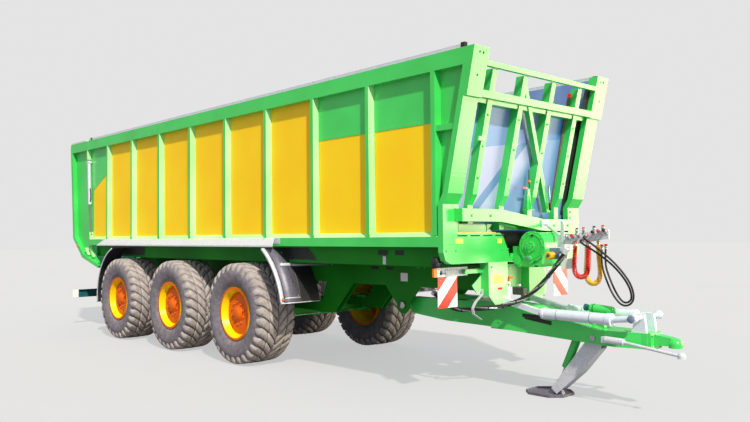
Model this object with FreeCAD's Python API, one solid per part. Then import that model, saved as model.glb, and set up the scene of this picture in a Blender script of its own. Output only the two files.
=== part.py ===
"""Tridem silage trailer with a belt floor and a push-off front wall.

Axes: +X towards the drawbar, +Y to the trailer's left, +Z up, in millimetres.
The model is drawn with x = 0 at the middle axle and z = 0 at the ground, and
each piece is then moved so that x = 0 lies halfway along the whole trailer.
"""
import FreeCAD, Part
import math
import os

V = FreeCAD.Vector

# ---------------------------------------------------------------- running gear
AXLE_SPACING = 1830.0
WHEEL_RADIUS = 680.0
TYRE_WIDTH = 600.0
TYRE_LUG_HEIGHT = 26.0
TYRE_LUG_COUNT = 24
TYRE_LUG_SHARE = 0.8
TYRE_TIP_LEAD = 1.0
TYRE_CROWN = 8.0
TYRE_TREAD_HALF = 250.0
TYRE_BULGE_RADIUS = 535.0
TYRE_BEAD_TOP = 6.0
RIM_BEAD_RADIUS = 337.0
RIM_FLANGE_RADIUS = 357.0
RIM_WIDTH = 510.0
RIM_THICKNESS = 9.0
RIM_FLANGE_WIDTH = 22.0
RIM_DISC_DEPTH = 105.0
RIM_WELL_START = 145.0
RIM_WELL_OUTER = 78.0
RIM_WELL_DEPTH = 42.0
RIM_BOSS_MARGIN = 60.0
WHEEL_CENTRE_Y = 1160.0
HUB_RADIUS = 130.0
KINGPIN_Y = 800.0
KINGPIN_RADIUS = 32.0
STEER_ARM_LENGTH = 205.0
TIE_PIN_RADIUS = 12.0
AXLE_BEAM_SIZE = 150.0
ARM_WIDTH = 70.0
STUB_RADIUS = 55.0
STUB_CLEARANCE = 0.1

# --------------------------------------------------------------------- chassis
RAIL_OUTER_Y = 480.0
RAIL_WIDTH = 100.0
RAIL_BOTTOM_Z = 1095.0
RAIL_TOP_Z = 1375.0
RAIL_REAR_X = -2950.0
RAIL_WALL = 10.0
CROSS_HEIGHT = 120.0
HANGER_PLATE = 12.0

# ------------------------------------------------------------------------ body
BOX_WIDTH = 2500.0
RIB_DEPTH = 80.0
PANEL_THICKNESS = 6.0
SIDE_REAR_X = -3505.0
SILL_BOTTOM_Z = 1585.0
SILL_TOP_Z = 1737.0
SILL_SHOULDER_Z = 1690.0
SILL_INNER_Y = 1000.0
SILL_WALL = 8.0
BOX_TOP_Z = 3557.0
CROSS_RIB_DROP = (792.0, 731.0)
TOP_BEAM_HEIGHT = 172.0
BEAM_WALL = 6.0
RIB_FIRST_X = -2675.0
RIB_PITCH = 1000.0
RIB_COUNT = 9
RIB_BASE_WIDTH = 90.0
RIB_FACE_WIDTH = 55.0
RIB_WALL = 6.0
SIGN_PANEL_Z = 2867.0
SIGN_PANEL_THICKNESS = 5.0
DEFLECTOR_REACH = 110.0
DEFLECTOR_SHEET = 3.0
DEFLECTOR_REAR_X = -2870.0
DEFLECTOR_FRONT_X = 2657.0
TOP_RAIL_HEIGHT = 48.0
TOP_RAIL_WIDTH = 40.0
SIDE_MEMBER_OUTER_Y = 1090.0
SIDE_MEMBER_WIDTH = 90.0
DECK_TOP_Z = 1734.7
DECK_THICKNESS = 20.0
BEARER_PITCH = 1000.0

# ----------------------------------------------------------------------- belt
DRUM_RADIUS = 90.0
BELT_THICKNESS = 10.0
BELT_HALF_WIDTH = 990.0
DRUM_HALF_WIDTH = 960.0
BELT_CLEARANCE = 0.3
DRUM_FRONT_X = 5240.0
DRUM_REAR_X = SIDE_REAR_X + 85.0
DRUM_SHAFT_RADIUS = 35.0

# ------------------------------------------------------------------- headboard
POST_WIDTH = 235.0
POST_DEPTH = 70.0
POST_WALL = 8.0
POST_FOOT_X = 5450.0
POST_KINK_LOW_Z = 2020.0
POST_KINK_HIGH_X = 5518.0
POST_KINK_HIGH_Z = 2127.0
POST_LEAN = 0.230
LADDER_DEPTH = 45.0
LADDER_BOTTOM_Z = BOX_TOP_Z - 482.0
LADDER_UPPER_BAR_Z = (BOX_TOP_Z - 167.0, BOX_TOP_Z - 119.0)
LADDER_LOWER_BAR_Z = (BOX_TOP_Z - 473.0, BOX_TOP_Z - 403.0)
FRONT_BEAM_Z = (1845.0, 1975.0)
FRONT_BEAM_DEPTH = 110.0
FRONT_BEAM_DROP = 100.0
FRONT_BEAM_BEND_Y = (-450.0, 350.0)
CONSOLE_BOTTOM_Z = 1408.0
CONSOLE_TOP_Z = 1725.0
CONSOLE_CREST_Z = 1820.0
LEG_INNER_Y = 140.0
LEG_OUTER_Y = 530.0
LEG_BOTTOM_Z = 948.0
LEG_DEPTH = 120.0
LEG_CORNER = 105.0

# ------------------------------------------------------------------- push wall
WALL_GAP = 130.0
WALL_HALF_WIDTH = 1150.0
WALL_FRAME_HALF_WIDTH = 1000.0
WALL_BOTTOM_Z = 1757.0
WALL_TOP_Z = BOX_TOP_Z - 160.0
WALL_PANE_TOP_Z = LADDER_LOWER_BAR_Z[1] - 15.0
WALL_PANE = 6.0
WALL_RIB_PITCH = 530.0
WALL_RIB_WIDTH = 80.0
WALL_FRONT_GAP = 24.0
WALL_EDGE_THICKNESS = 5.0
WALL_BRACE_WIDTH = 62.0

# -------------------------------------------------------------------- tailgate
GATE_GAP = 10.0
GATE_TOP_REAR_X = SIDE_REAR_X - 875.0
GATE_SHOULDER_X = GATE_TOP_REAR_X - 14.0
GATE_SHOULDER_Z = BOX_TOP_Z - 113.0
GATE_KNEE_X = SIDE_REAR_X - 757.0
GATE_KNEE_Z = 1712.0
GATE_LOW_X = SIDE_REAR_X - 305.0
GATE_LOW_Z = 1343.0
GATE_TOE_X = SIDE_REAR_X + 425.0
GATE_TOE_Z = 1165.0
GATE_SHEET = 8.0
GATE_POST_WIDTH = 85.0
HINGE_X = SIDE_REAR_X + 5.0
HINGE_Z = BOX_TOP_Z + 35.0
HINGE_PIN_RADIUS = 12.0
HINGE_EYE_RADIUS = 30.0
GATE_RAM_FOOT = (SIDE_REAR_X + 15.0, SILL_SHOULDER_Z + 115.0)
GATE_RAM_HEAD = (HINGE_X - 75.0, HINGE_Z - 442.0)
GATE_RAM_Y = 1214.0
GATE_BARREL_RADIUS = 33.0
GATE_BARREL_BORE = 27.0
GATE_BARREL_LENGTH = 800.0
GATE_ROD_RADIUS = 16.0
GATE_ROD_LENGTH = 1205.0
EYE_RADIUS = 28.0
EYE_PIN_RADIUS = 14.0
PIN_CLEARANCE = 0.1
SEAT_GAP = 0.3

# --------------------------------------------------------------------- drawbar
DRAWBAR_PIVOT_X = 4100.0
DRAWBAR_PIVOT_Z = 870.0
DRAWBAR_PIVOT_RADIUS = 60.0
DRAWBAR_ARM_Y = 370.0
DRAWBAR_ARM_WIDTH = 120.0
DRAWBAR_NECK_X = 5150.0
DRAWBAR_HALF_WIDTH = 185.0
DRAWBAR_NOSE_X = 7010.0
DRAWBAR_NOSE_HALF = 120.0
DRAWBAR_WALL = 14.0
DRAWBAR_HUMP = (5990.0, 850.0)
DRAWBAR_CREST = (5700.0, 925.0)
DRAWBAR_FLAT = (6533.0, 750.0)
DRAWBAR_SLOT = (5625.0, 5905.0, 812.0, 852.0)
DRAWBAR_RAM_Y = 245.0
DRAWBAR_RAM_RADIUS = 56.0
DRAWBAR_RAM_BACK = (5925.0, 878.0)
DRAWBAR_RAM_FRONT = (6720.0, 870.0)
DRAWBAR_RAM_PIN = (6938.0, 895.0)

COUPLING_X = 7232.0
COUPLING_Z = 655.0
COUPLING_CUP_RADIUS = 40.5
COUPLING_SKIRT = 30.0
STEER_ROD_Y = -230.0
STEER_CUP_X = 7392.0
STEER_CUP_Z = 590.0
STEER_CUP_RADIUS = 25.5
STEER_CUP_WALL = 10.5
STEER_CUP_SKIRT = 20.0

# ----------------------------------------------------------------------- stand
STAND_PIVOT = (6470.0, 665.0)
STAND_FOOT_PIN = (5950.0, 72.0)
STAND_WIDTH = 130.0
STAND_PLATE = 12.0
STAND_FOOT_LENGTH = 470.0
STAND_FOOT_WIDTH = 430.0
STAND_FOOT_CENTRE_X = 5835.0
STAND_RAM_TOP = (6235.0, 740.0)
STAND_RAM_EYE = (5970.0, 140.0)
STAND_BARREL_RADIUS = 45.0
STAND_BARREL_BORE = 34.0
STAND_BARREL_LENGTH = 480.0
STAND_ROD_RADIUS = 20.0
STAND_EYE_HALF = 30.0

# --------------------------------------------------------------------- fenders
FENDER_HALF_Y = (800.0, 1410.0)
FENDER_THICKNESS = 6.0
FRONT_FENDER_RADIUS = 1090.0
REAR_FENDER_RADIUS = 900.0

# ------------------------------------------------------------------ rear light
LIGHT_BAR_X = -4300.0
LIGHT_BAR_Z = (550.0, 700.0)
LIGHT_BAR_HALF = 1245.0

# ----------------------------------------------------------------------- hoses
CORD_ARC_SHARE = 0.45
HOSE_BUNDLE_DIAMETER = 50.0
PRESSURE_HOSE_DIAMETER = 20.0
AIR_COIL_DIAMETER = 55.0
COUPLER_RADIUS = 17.0
COUPLER_LENGTH = 52.0
HOLDER_BAR_Y = (-42.0, -30.0)
FRONT_ROW_Y = HOLDER_BAR_Y[0] - COUPLER_RADIUS - 0.3
BACK_ROW_Y = HOLDER_BAR_Y[1] + COUPLER_RADIUS + 0.3
HOSE_END_Y = HOLDER_BAR_Y[0] - 3.3 - COUPLER_LENGTH
HOSE_BUNDLE_ROUTE = [
    (4740.0, -600.0, 1040.0),
    (4855.0, -608.0, 988.0),
    (4975.0, -616.0, 912.0),
    (5110.0, -622.0, 884.0),
    (5260.0, -616.0, 904.0),
    (5400.0, -575.0, 918.0),
    (5520.0, -460.0, 936.0),
    (5635.0, -330.0, 978.0),
    (5740.0, -250.0, 1045.0),
    (5840.0, -210.0, 1130.0),
    (5930.0, -190.0, 1222.0),
    (6012.0, -178.0, 1325.0),
    (6090.0, -170.0, 1418.0),
    (6150.0, -166.0, 1505.0),
]
PRESSURE_HOSE_ROUTES = [
    [
        (6310.0, HOSE_END_Y, 1642.0),
        (6318.0, HOSE_END_Y - 48.0, 1634.0),
        (6368.0, HOSE_END_Y - 78.0, 1605.0),
        (6455.0, -176.0, 1560.0),
        (6560.0, -166.0, 1492.0),
        (6680.0, -148.0, 1400.0),
        (6775.0, -122.0, 1287.0),
        (6830.0, -98.0, 1182.0),
        (6846.0, -86.0, 1095.0),
        (6827.0, -78.0, 1048.0),
        (6781.0, -72.0, 1024.0),
        (6731.0, -66.0, 1035.0),
        (6664.0, -62.0, 1120.0),
        (6595.0, -58.0, 1262.0),
        (6547.0, -60.0, 1410.0),
        (6562.0, FRONT_ROW_Y, 1550.0),
    ],
    [
        (6352.0, HOSE_END_Y, 1682.0),
        (6360.0, HOSE_END_Y - 50.0, 1675.0),
        (6405.0, HOSE_END_Y - 88.0, 1650.0),
        (6490.0, -190.0, 1600.0),
        (6595.0, -182.0, 1522.0),
        (6710.0, -165.0, 1422.0),
        (6805.0, -138.0, 1304.0),
        (6860.0, -112.0, 1198.0),
        (6877.0, -98.0, 1094.0),
        (6849.0, -90.0, 1028.0),
        (6785.0, -84.0, 994.0),
        (6715.0, -80.0, 1010.0),
        (6636.0, -78.0, 1104.0),
        (6566.0, -74.0, 1250.0),
        (6510.0, -64.0, 1408.0),
        (6518.0, FRONT_ROW_Y, 1545.0),
    ],
]
AIR_HOSE_RED_ROUTE = [
    (6212.0, FRONT_ROW_Y, 1580.0),
    (6209.0, FRONT_ROW_Y, 1495.0),
    (6203.0, FRONT_ROW_Y - 11.0, 1402.0),
    (6212.0, FRONT_ROW_Y - 18.0, 1306.0),
    (6256.0, FRONT_ROW_Y - 18.0, 1261.0),
    (6319.0, FRONT_ROW_Y - 18.0, 1262.0),
    (6363.0, FRONT_ROW_Y - 18.0, 1306.0),
    (6370.0, FRONT_ROW_Y - 11.0, 1400.0),
    (6368.5, FRONT_ROW_Y, 1494.0),
    (6367.0, FRONT_ROW_Y, 1585.0),
]
AIR_HOSE_YELLOW_ROUTE = [
    (6325.0, BACK_ROW_Y, 1582.0),
    (6323.0, BACK_ROW_Y, 1498.0),
    (6315.0, BACK_ROW_Y, 1415.0),
    (6307.0, BACK_ROW_Y, 1328.0),
    (6313.0, BACK_ROW_Y, 1239.0),
    (6357.0, BACK_ROW_Y, 1195.0),
    (6419.0, BACK_ROW_Y, 1196.0),
    (6463.0, BACK_ROW_Y, 1239.0),
    (6470.0, BACK_ROW_Y, 1330.0),
    (6462.0, BACK_ROW_Y, 1418.0),
    (6455.0, BACK_ROW_Y, 1503.0),
    (6453.0, BACK_ROW_Y, 1588.0),
]

RIB_FACE_Y = BOX_WIDTH / 2
PANEL_OUTER_Y = RIB_FACE_Y - RIB_DEPTH
PANEL_INNER_Y = PANEL_OUTER_Y - PANEL_THICKNESS
TOP_BEAM_BOTTOM_Z = BOX_TOP_Z - TOP_BEAM_HEIGHT
DRUM_Z = DECK_TOP_Z + BELT_CLEARANCE - DRUM_RADIUS
BELT_TOP_Z = DRUM_Z + DRUM_RADIUS + BELT_THICKNESS
ORIGIN_X = (STEER_CUP_X + STEER_CUP_RADIUS + STEER_CUP_WALL + GATE_SHOULDER_X) / 2
AXLE_X = {"front": AXLE_SPACING, "middle": 0.0, "rear": -AXLE_SPACING}


# --------------------------------------------------------------- small helpers
def box(x0, x1, y0, y1, z0, z1):
    return Part.makeBox(x1 - x0, y1 - y0, z1 - z0, V(x0, y0, z0))


def polygon(points):
    return Part.Face(Part.makePolygon(points + points[:1]))


def prism_xz(points, y0, y1):
    face = polygon([V(x, y0, z) for x, z in points])
    return face.extrude(V(0, y1 - y0, 0))


def prism_xy(points, z0, z1):
    face = polygon([V(x, y, z0) for x, y in points])
    return face.extrude(V(0, 0, z1 - z0))


def prism_yz(points, x0, x1):
    face = polygon([V(x0, y, z) for y, z in points])
    return face.extrude(V(x1 - x0, 0, 0))


def rod(start, end, radius):
    a = V(*start)
    b = V(*end)
    return Part.makeCylinder(radius, (b - a).Length, a, b - a)


def tube(start, end, outer, inner):
    return rod(start, end, outer).cut(rod(start, end, inner))


def rod_y(x, z, y0, y1, radius):
    return rod((x, y0, z), (x, y1, z), radius)


def fuse(shapes):
    whole = shapes[0]
    if len(shapes) > 1:
        whole = whole.fuse(shapes[1:])
    return whole.removeSplitter()


def mirrored(shape):
    return shape.mirror(V(0, 0, 0), V(0, 1, 0))


def both_sides(shape):
    return [shape, mirrored(shape)]


def export(name, shape):
    moved = shape.copy()
    moved.translate(V(-ORIGIN_X, 0, 0))
    moved.exportStep("parts/%s.step" % name)


def post_front_x(z):
    """X of the headboard posts' front face at height z."""
    if z <= POST_KINK_LOW_Z:
        return POST_FOOT_X
    if z < POST_KINK_HIGH_Z:
        share = (z - POST_KINK_LOW_Z) / (POST_KINK_HIGH_Z - POST_KINK_LOW_Z)
        return POST_FOOT_X + share * (POST_KINK_HIGH_X - POST_FOOT_X)
    return lean_x(z)


def lean_x(z):
    """X of the leaning plane that the upper posts and the push wall share."""
    return POST_KINK_HIGH_X + POST_LEAN * (z - POST_KINK_HIGH_Z)


def leaning_bar(z0, z1, ahead0, ahead1, y0, y1):
    """Bar across the trailer in the leaning plane, ahead0..ahead1 in front of it."""
    points = [
        (lean_x(z0) + ahead0, z0),
        (lean_x(z0) + ahead1, z0),
        (lean_x(z1) + ahead1, z1),
        (lean_x(z1) + ahead0, z1),
    ]
    return prism_xz(points, y0, y1)


# ---------------------------------------------------------------------- wheels
def ring_corner(y, radius, pitches):
    """A corner at a height above the wheel's axis, turned so many lug pitches towards +X."""
    angle = math.radians(pitches * 360.0 / TYRE_LUG_COUNT)
    return V(radius * math.sin(angle), y, radius * math.cos(angle))


def tyre_tread(hand):
    """One half of the chevron tread: lug tops, lug walls, groove floors and shoulder ends."""
    floor_radius = WHEEL_RADIUS - TYRE_LUG_HEIGHT
    shoulder_y = hand * TYRE_TREAD_HALF
    edge_y = hand * TYRE_WIDTH / 2
    triangles = []

    def quad(a, b, c, d):
        triangles.extend([(a, b, c), (a, c, d)])

    for i in range(TYRE_LUG_COUNT):
        rear = i - TYRE_TIP_LEAD
        front = rear + TYRE_LUG_SHARE
        after = rear + 1
        tip_rear = ring_corner(0, WHEEL_RADIUS, i)
        tip_front = ring_corner(0, WHEEL_RADIUS, i + TYRE_LUG_SHARE)
        root_rear = ring_corner(0, floor_radius, i)
        root_front = ring_corner(0, floor_radius, i + TYRE_LUG_SHARE)
        root_after = ring_corner(0, floor_radius, i + 1)
        top_rear = ring_corner(shoulder_y, WHEEL_RADIUS - TYRE_CROWN, rear)
        top_front = ring_corner(shoulder_y, WHEEL_RADIUS - TYRE_CROWN, front)
        base_rear = ring_corner(shoulder_y, floor_radius - TYRE_CROWN, rear)
        base_front = ring_corner(shoulder_y, floor_radius - TYRE_CROWN, front)
        base_after = ring_corner(shoulder_y, floor_radius - TYRE_CROWN, after)
        edge_rear = ring_corner(edge_y, TYRE_BULGE_RADIUS, rear)
        edge_front = ring_corner(edge_y, TYRE_BULGE_RADIUS, front)
        edge_after = ring_corner(edge_y, TYRE_BULGE_RADIUS, after)
        quad(tip_rear, tip_front, top_front, top_rear)
        quad(root_rear, tip_rear, top_rear, base_rear)
        quad(tip_front, root_front, base_front, top_front)
        quad(root_front, root_after, base_after, base_front)
        quad(top_rear, top_front, edge_front, edge_rear)
        quad(base_front, base_after, edge_after, edge_front)
        triangles.append((base_rear, top_rear, edge_rear))
        triangles.append((top_front, base_front, edge_front))
    return triangles


def tyre_bead_y():
    """Half the tyre's width at the bead, which seats against the rim's flange."""
    return RIM_WIDTH / 2 - RIM_FLANGE_WIDTH - SEAT_GAP


def tyre_bead_radius():
    """Corner radius of the faceted bore, whose flats just clear the rim's seat."""
    return (RIM_BEAD_RADIUS + SEAT_GAP) / math.cos(math.pi / TYRE_LUG_COUNT)


def tyre_wall(hand):
    """One sidewall, from the shoulder round the bulge to the bead, with one corner per lug below it."""
    flat = math.cos(math.pi / TYRE_LUG_COUNT)
    rings = [
        (hand * tyre_bead_y(), (RIM_FLANGE_RADIUS + TYRE_BEAD_TOP) / flat),
        (hand * tyre_bead_y(), tyre_bead_radius()),
    ]
    edge_y = hand * TYRE_WIDTH / 2
    triangles = []
    for i in range(TYRE_LUG_COUNT):
        rear = i - TYRE_TIP_LEAD
        edge_rear = ring_corner(edge_y, TYRE_BULGE_RADIUS, rear)
        edge_front = ring_corner(edge_y, TYRE_BULGE_RADIUS, rear + TYRE_LUG_SHARE)
        edge_after = ring_corner(edge_y, TYRE_BULGE_RADIUS, rear + 1)
        near = [ring_corner(y, radius, rear) for y, radius in rings]
        far = [ring_corner(y, radius, rear + 1) for y, radius in rings]
        triangles.append((edge_rear, edge_front, near[0]))
        triangles.append((edge_front, far[0], near[0]))
        triangles.append((edge_front, edge_after, far[0]))
        triangles.append((near[0], far[0], far[1]))
        triangles.append((near[0], far[1], near[1]))
    return triangles


def tyre_bore():
    """The facets on the rim, joining the two beads."""
    bead_y = tyre_bead_y()
    radius = tyre_bead_radius()
    triangles = []
    for i in range(TYRE_LUG_COUNT):
        rear = i - TYRE_TIP_LEAD
        turns = ((-bead_y, rear), (bead_y, rear), (bead_y, rear + 1), (-bead_y, rear + 1))
        corners = [ring_corner(y, radius, pitches) for y, pitches in turns]
        triangles.append((corners[0], corners[1], corners[2]))
        triangles.append((corners[0], corners[2], corners[3]))
    return triangles


def tyre(axle_x, side):
    """A tyre of flat facets: chevron lugs joined to one carcass, so that a lug costs few faces."""
    triangles = tyre_tread(-1) + tyre_tread(1) + tyre_wall(-1) + tyre_wall(1) + tyre_bore()
    faces = [Part.Face(Part.makePolygon([a, b, c, a])) for a, b, c in triangles]
    shell = Part.Compound(faces)
    shell.sewShape()
    solid = Part.Solid(shell.Shells[0])
    if solid.Volume < 0:
        solid.reverse()
    solid.translate(V(axle_x, side * WHEEL_CENTRE_Y, WHEEL_RADIUS))
    return solid


def rim(axle_x, side):
    half = RIM_WIDTH / 2
    disc_y = half - RIM_DISC_DEPTH
    inner = RIM_BEAD_RADIUS - RIM_THICKNESS
    well = RIM_BEAD_RADIUS - RIM_WELL_DEPTH
    well_inner = well - RIM_THICKNESS
    boss_radius = HUB_RADIUS + RIM_BOSS_MARGIN
    bore = STUB_RADIUS + STUB_CLEARANCE
    section = [
        (-half, RIM_FLANGE_RADIUS),
        (-half + RIM_FLANGE_WIDTH, RIM_FLANGE_RADIUS),
        (-half + RIM_FLANGE_WIDTH, RIM_BEAD_RADIUS),
        (-half + RIM_WELL_START, well),
        (half - RIM_WELL_OUTER, well),
        (half - RIM_FLANGE_WIDTH, RIM_BEAD_RADIUS),
        (half - RIM_FLANGE_WIDTH, RIM_FLANGE_RADIUS),
        (half, RIM_FLANGE_RADIUS),
        (half, inner),
        (half - RIM_WELL_OUTER, well_inner),
        (disc_y + 12, well_inner),
        (disc_y + 40, boss_radius),
        (disc_y + 40, bore),
        (disc_y + 18, bore),
        (disc_y + 18, boss_radius),
        (disc_y - 10, well_inner),
        (-half + RIM_WELL_START, well_inner),
        (-half, inner),
    ]
    centre_y = side * WHEEL_CENTRE_Y
    face = polygon([V(0, centre_y + side * y, r) for y, r in section])
    shape = face.revolve(V(0, centre_y, 0), V(0, 1, 0), 360)
    shape.translate(V(axle_x, 0, WHEEL_RADIUS))
    return shape


def hub_disc_y():
    """Distance from the centre line to the inner face of the wheel disc's middle."""
    return WHEEL_CENTRE_Y + RIM_WIDTH / 2 - RIM_DISC_DEPTH + 18


def stub(axle_x, side, inner_y):
    """Hub drum and stub axle that carry a wheel."""
    y_face = hub_disc_y()
    z = WHEEL_RADIUS
    drum = rod((axle_x, side * (inner_y + 10), z), (axle_x, side * (y_face - 0.5), z), HUB_RADIUS)
    spindle = rod((axle_x, side * inner_y, z), (axle_x, side * (y_face + 45), z), STUB_RADIUS)
    return [drum, spindle]


def knuckle(axle_x, side):
    z = WHEEL_RADIUS
    half = AXLE_BEAM_SIZE / 2
    y0 = KINGPIN_Y - 48
    y1 = KINGPIN_Y + 62
    upper = box(axle_x - 55, axle_x + 55, y0, y1, z + half + 1, z + half + 40)
    lower = box(axle_x - 55, axle_x + 55, y0, y1, z - half - 40, z - half - 1)
    back = box(axle_x - 55, axle_x + 55, y1 - 2, y1 + 38, z - half - 40, z + half + 40)
    arm = prism_xy(
        [
            (axle_x - 40, y0),
            (axle_x - 40, y1),
            (axle_x - STEER_ARM_LENGTH - 30, KINGPIN_Y + 30),
            (axle_x - STEER_ARM_LENGTH - 30, KINGPIN_Y - 30),
        ],
        z - half - 40,
        z - half - 14,
    )
    pin = rod((axle_x, KINGPIN_Y, z - half - 40), (axle_x, KINGPIN_Y, z + half + 40), KINGPIN_RADIUS)
    ball_x = axle_x - STEER_ARM_LENGTH
    ball_pin = rod((ball_x, KINGPIN_Y, z - half - 74), (ball_x, KINGPIN_Y, z - half - 20), TIE_PIN_RADIUS)
    shapes = [upper, lower, back, arm, pin, ball_pin] + stub(axle_x, 1, y1 + 20)
    shape = fuse(shapes)
    return shape if side > 0 else mirrored(shape)


def tie_rod(axle_x):
    """Rod between the steering arms' pins, under the axle."""
    top = WHEEL_RADIUS - AXLE_BEAM_SIZE / 2 - 40 - SEAT_GAP
    x = axle_x - STEER_ARM_LENGTH
    bar = rod((x, -KINGPIN_Y, top - 15), (x, KINGPIN_Y, top - 15), 14)
    eyes = [rod((x, s * KINGPIN_Y, top - 30), (x, s * KINGPIN_Y, top), 26) for s in (-1, 1)]
    whole = fuse([bar] + eyes)
    for s in (-1, 1):
        pin_hole = rod((x, s * KINGPIN_Y, top - 31), (x, s * KINGPIN_Y, top + 1), TIE_PIN_RADIUS + PIN_CLEARANCE)
        whole = whole.cut(pin_hole)
    return whole


def arm_pair(axle_x):
    """Trailing arms from the hangers' pins back past the axle to the suspension rams."""
    z = WHEEL_RADIUS
    y0 = RAIL_OUTER_Y - RAIL_WIDTH / 2 - ARM_WIDTH / 2
    y1 = y0 + ARM_WIDTH
    points = [
        (axle_x + 640, z + 105),
        (axle_x + 200, z + 125),
        (axle_x - 120, z + 110),
        (axle_x - 400, z + 105),
        (axle_x - 400, z + 45),
        (axle_x - 120, z + 20),
        (axle_x + 640, z + 15),
    ]
    arm = fuse([prism_xz(points, y0, y1), rod_y(axle_x + 640, z + 60, y0, y1, 45)])
    arm = arm.cut(rod_y(axle_x + 640, z + 60, y0 - 1, y1 + 1, 25 + PIN_CLEARANCE))
    return both_sides(arm)


def axle(axle_x, steered):
    z = WHEEL_RADIUS
    half = AXLE_BEAM_SIZE / 2
    if steered:
        end_y = KINGPIN_Y - 30
        beam = box(axle_x - half, axle_x + half, -end_y, end_y, z - half, z + half)
        shapes = [beam]
        for s in (-1, 1):
            boss = rod((axle_x, s * KINGPIN_Y, z - half), (axle_x, s * KINGPIN_Y, z + half), 50)
            shapes.append(boss)
        shapes += arm_pair(axle_x)
        whole = fuse(shapes)
        for s in (-1, 1):
            bore = rod(
                (axle_x, s * KINGPIN_Y, z - half - 1),
                (axle_x, s * KINGPIN_Y, z + half + 1),
                KINGPIN_RADIUS + PIN_CLEARANCE,
            )
            whole = whole.cut(bore)
        return whole
    end_y = KINGPIN_Y + 60
    beam = box(axle_x - half, axle_x + half, -end_y, end_y, z - half, z + half)
    shapes = [beam] + arm_pair(axle_x)
    for s in (-1, 1):
        shapes += stub(axle_x, s, end_y - 5)
    return fuse(shapes)


def suspension_rams():
    """Short hydraulic rams between the trailing arms' rear ends and the chassis rails."""
    rams = []
    y = RAIL_OUTER_Y - RAIL_WIDTH / 2
    for axle_x in AXLE_X.values():
        x = axle_x - 330
        low = WHEEL_RADIUS + 107.5 + SEAT_GAP
        top = RAIL_BOTTOM_Z - SEAT_GAP
        for s in (-1, 1):
            barrel = rod((x, s * y, low + 90), (x, s * y, top), 55)
            piston = rod((x, s * y, low), (x, s * y, low + 95), 40)
            rams.append(fuse([barrel, piston]))
    return Part.makeCompound(rams)


# --------------------------------------------------------------------- chassis
def rail():
    y1 = RAIL_OUTER_Y
    y0 = y1 - RAIL_WIDTH
    x1 = POST_FOOT_X - LEG_DEPTH
    outer = box(RAIL_REAR_X, x1, y0, y1, RAIL_BOTTOM_Z, RAIL_TOP_Z)
    w = RAIL_WALL
    inner = box(RAIL_REAR_X - 1, x1 - w, y0 + w, y1 - w, RAIL_BOTTOM_Z + w, RAIL_TOP_Z - w)
    return outer.cut(inner)


def hanger(pin_x, points, pin_z, pin_radius):
    """Two cheek plates under a rail with the pin of an arm between them."""
    y1 = RAIL_OUTER_Y
    y0 = y1 - RAIL_WIDTH
    cheeks = [prism_xz(points, y0, y0 + HANGER_PLATE), prism_xz(points, y1 - HANGER_PLATE, y1)]
    return cheeks + [rod_y(pin_x, pin_z, y0, y1, pin_radius)]


def arm_hanger(axle_x):
    x = axle_x + 640
    z = WHEEL_RADIUS + 60
    points = [
        (x + 180, RAIL_BOTTOM_Z),
        (x + AXLE_SPACING - 1100, RAIL_BOTTOM_Z),
        (x + 330, z - 55),
        (x - 20, z - 60),
        (x - 75, z - 20),
        (x - 60, z + 50),
        (x + 100, z + 120),
    ]
    web = prism_xz(
        [(x + 400, RAIL_BOTTOM_Z), (x + 420, RAIL_BOTTOM_Z), (x + 240, z - 50), (x + 220, z - 50)],
        RAIL_OUTER_Y - RAIL_WIDTH,
        RAIL_OUTER_Y,
    )
    return hanger(x, points, z, 25) + [web]


def pivot_hanger():
    """Rounded bracket that carries the drawbar's rear pivot."""
    x = DRAWBAR_PIVOT_X
    z = DRAWBAR_PIVOT_Z
    low = rod_y(x, z, RAIL_OUTER_Y - HANGER_PLATE, RAIL_OUTER_Y, 105)
    points = [(x - 300, RAIL_BOTTOM_Z), (x + 300, RAIL_BOTTOM_Z), (x + 104, z + 20), (x - 104, z + 5)]
    plate = prism_xz(points, RAIL_OUTER_Y - HANGER_PLATE, RAIL_OUTER_Y)
    pin = rod_y(x, z, RAIL_OUTER_Y - HANGER_PLATE - 70, RAIL_OUTER_Y, 30)
    return [low, plate, pin]


def chassis_leg():
    """Column from the console down beside the drawbar: front plate, cheeks and gusset."""
    x1 = POST_FOOT_X
    x0 = x1 - LEG_DEPTH
    t = 10.0
    y0 = LEG_INNER_Y + 60
    y1 = LEG_OUTER_Y
    corner_z = LEG_BOTTOM_Z + LEG_CORNER
    front = prism_yz(
        [
            (y0, LEG_BOTTOM_Z),
            (y1 - LEG_CORNER, LEG_BOTTOM_Z),
            (y1, corner_z),
            (y1, CONSOLE_BOTTOM_Z),
            (y0, CONSOLE_BOTTOM_Z),
        ],
        x1 - t,
        x1,
    )
    outer = box(x0, x1, y1 - t, y1, corner_z, CONSOLE_BOTTOM_Z)
    inner = box(x0, x1, y0, y0 + t, LEG_BOTTOM_Z, CONSOLE_BOTTOM_Z)
    back = box(x0, x0 + t, y0, y1, corner_z, CONSOLE_BOTTOM_Z)
    floor = box(x0, x1, y0, y1 - LEG_CORNER, LEG_BOTTOM_Z, LEG_BOTTOM_Z + t)
    gusset = prism_yz(
        [(y1 - 1, corner_z + 210), (y1 + 145, corner_z + 110), (y1 + 70, corner_z + 25), (y1 - 1, corner_z + 45)],
        x0,
        x0 + t,
    )
    return [front, outer, inner, back, floor, gusset]


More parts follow.
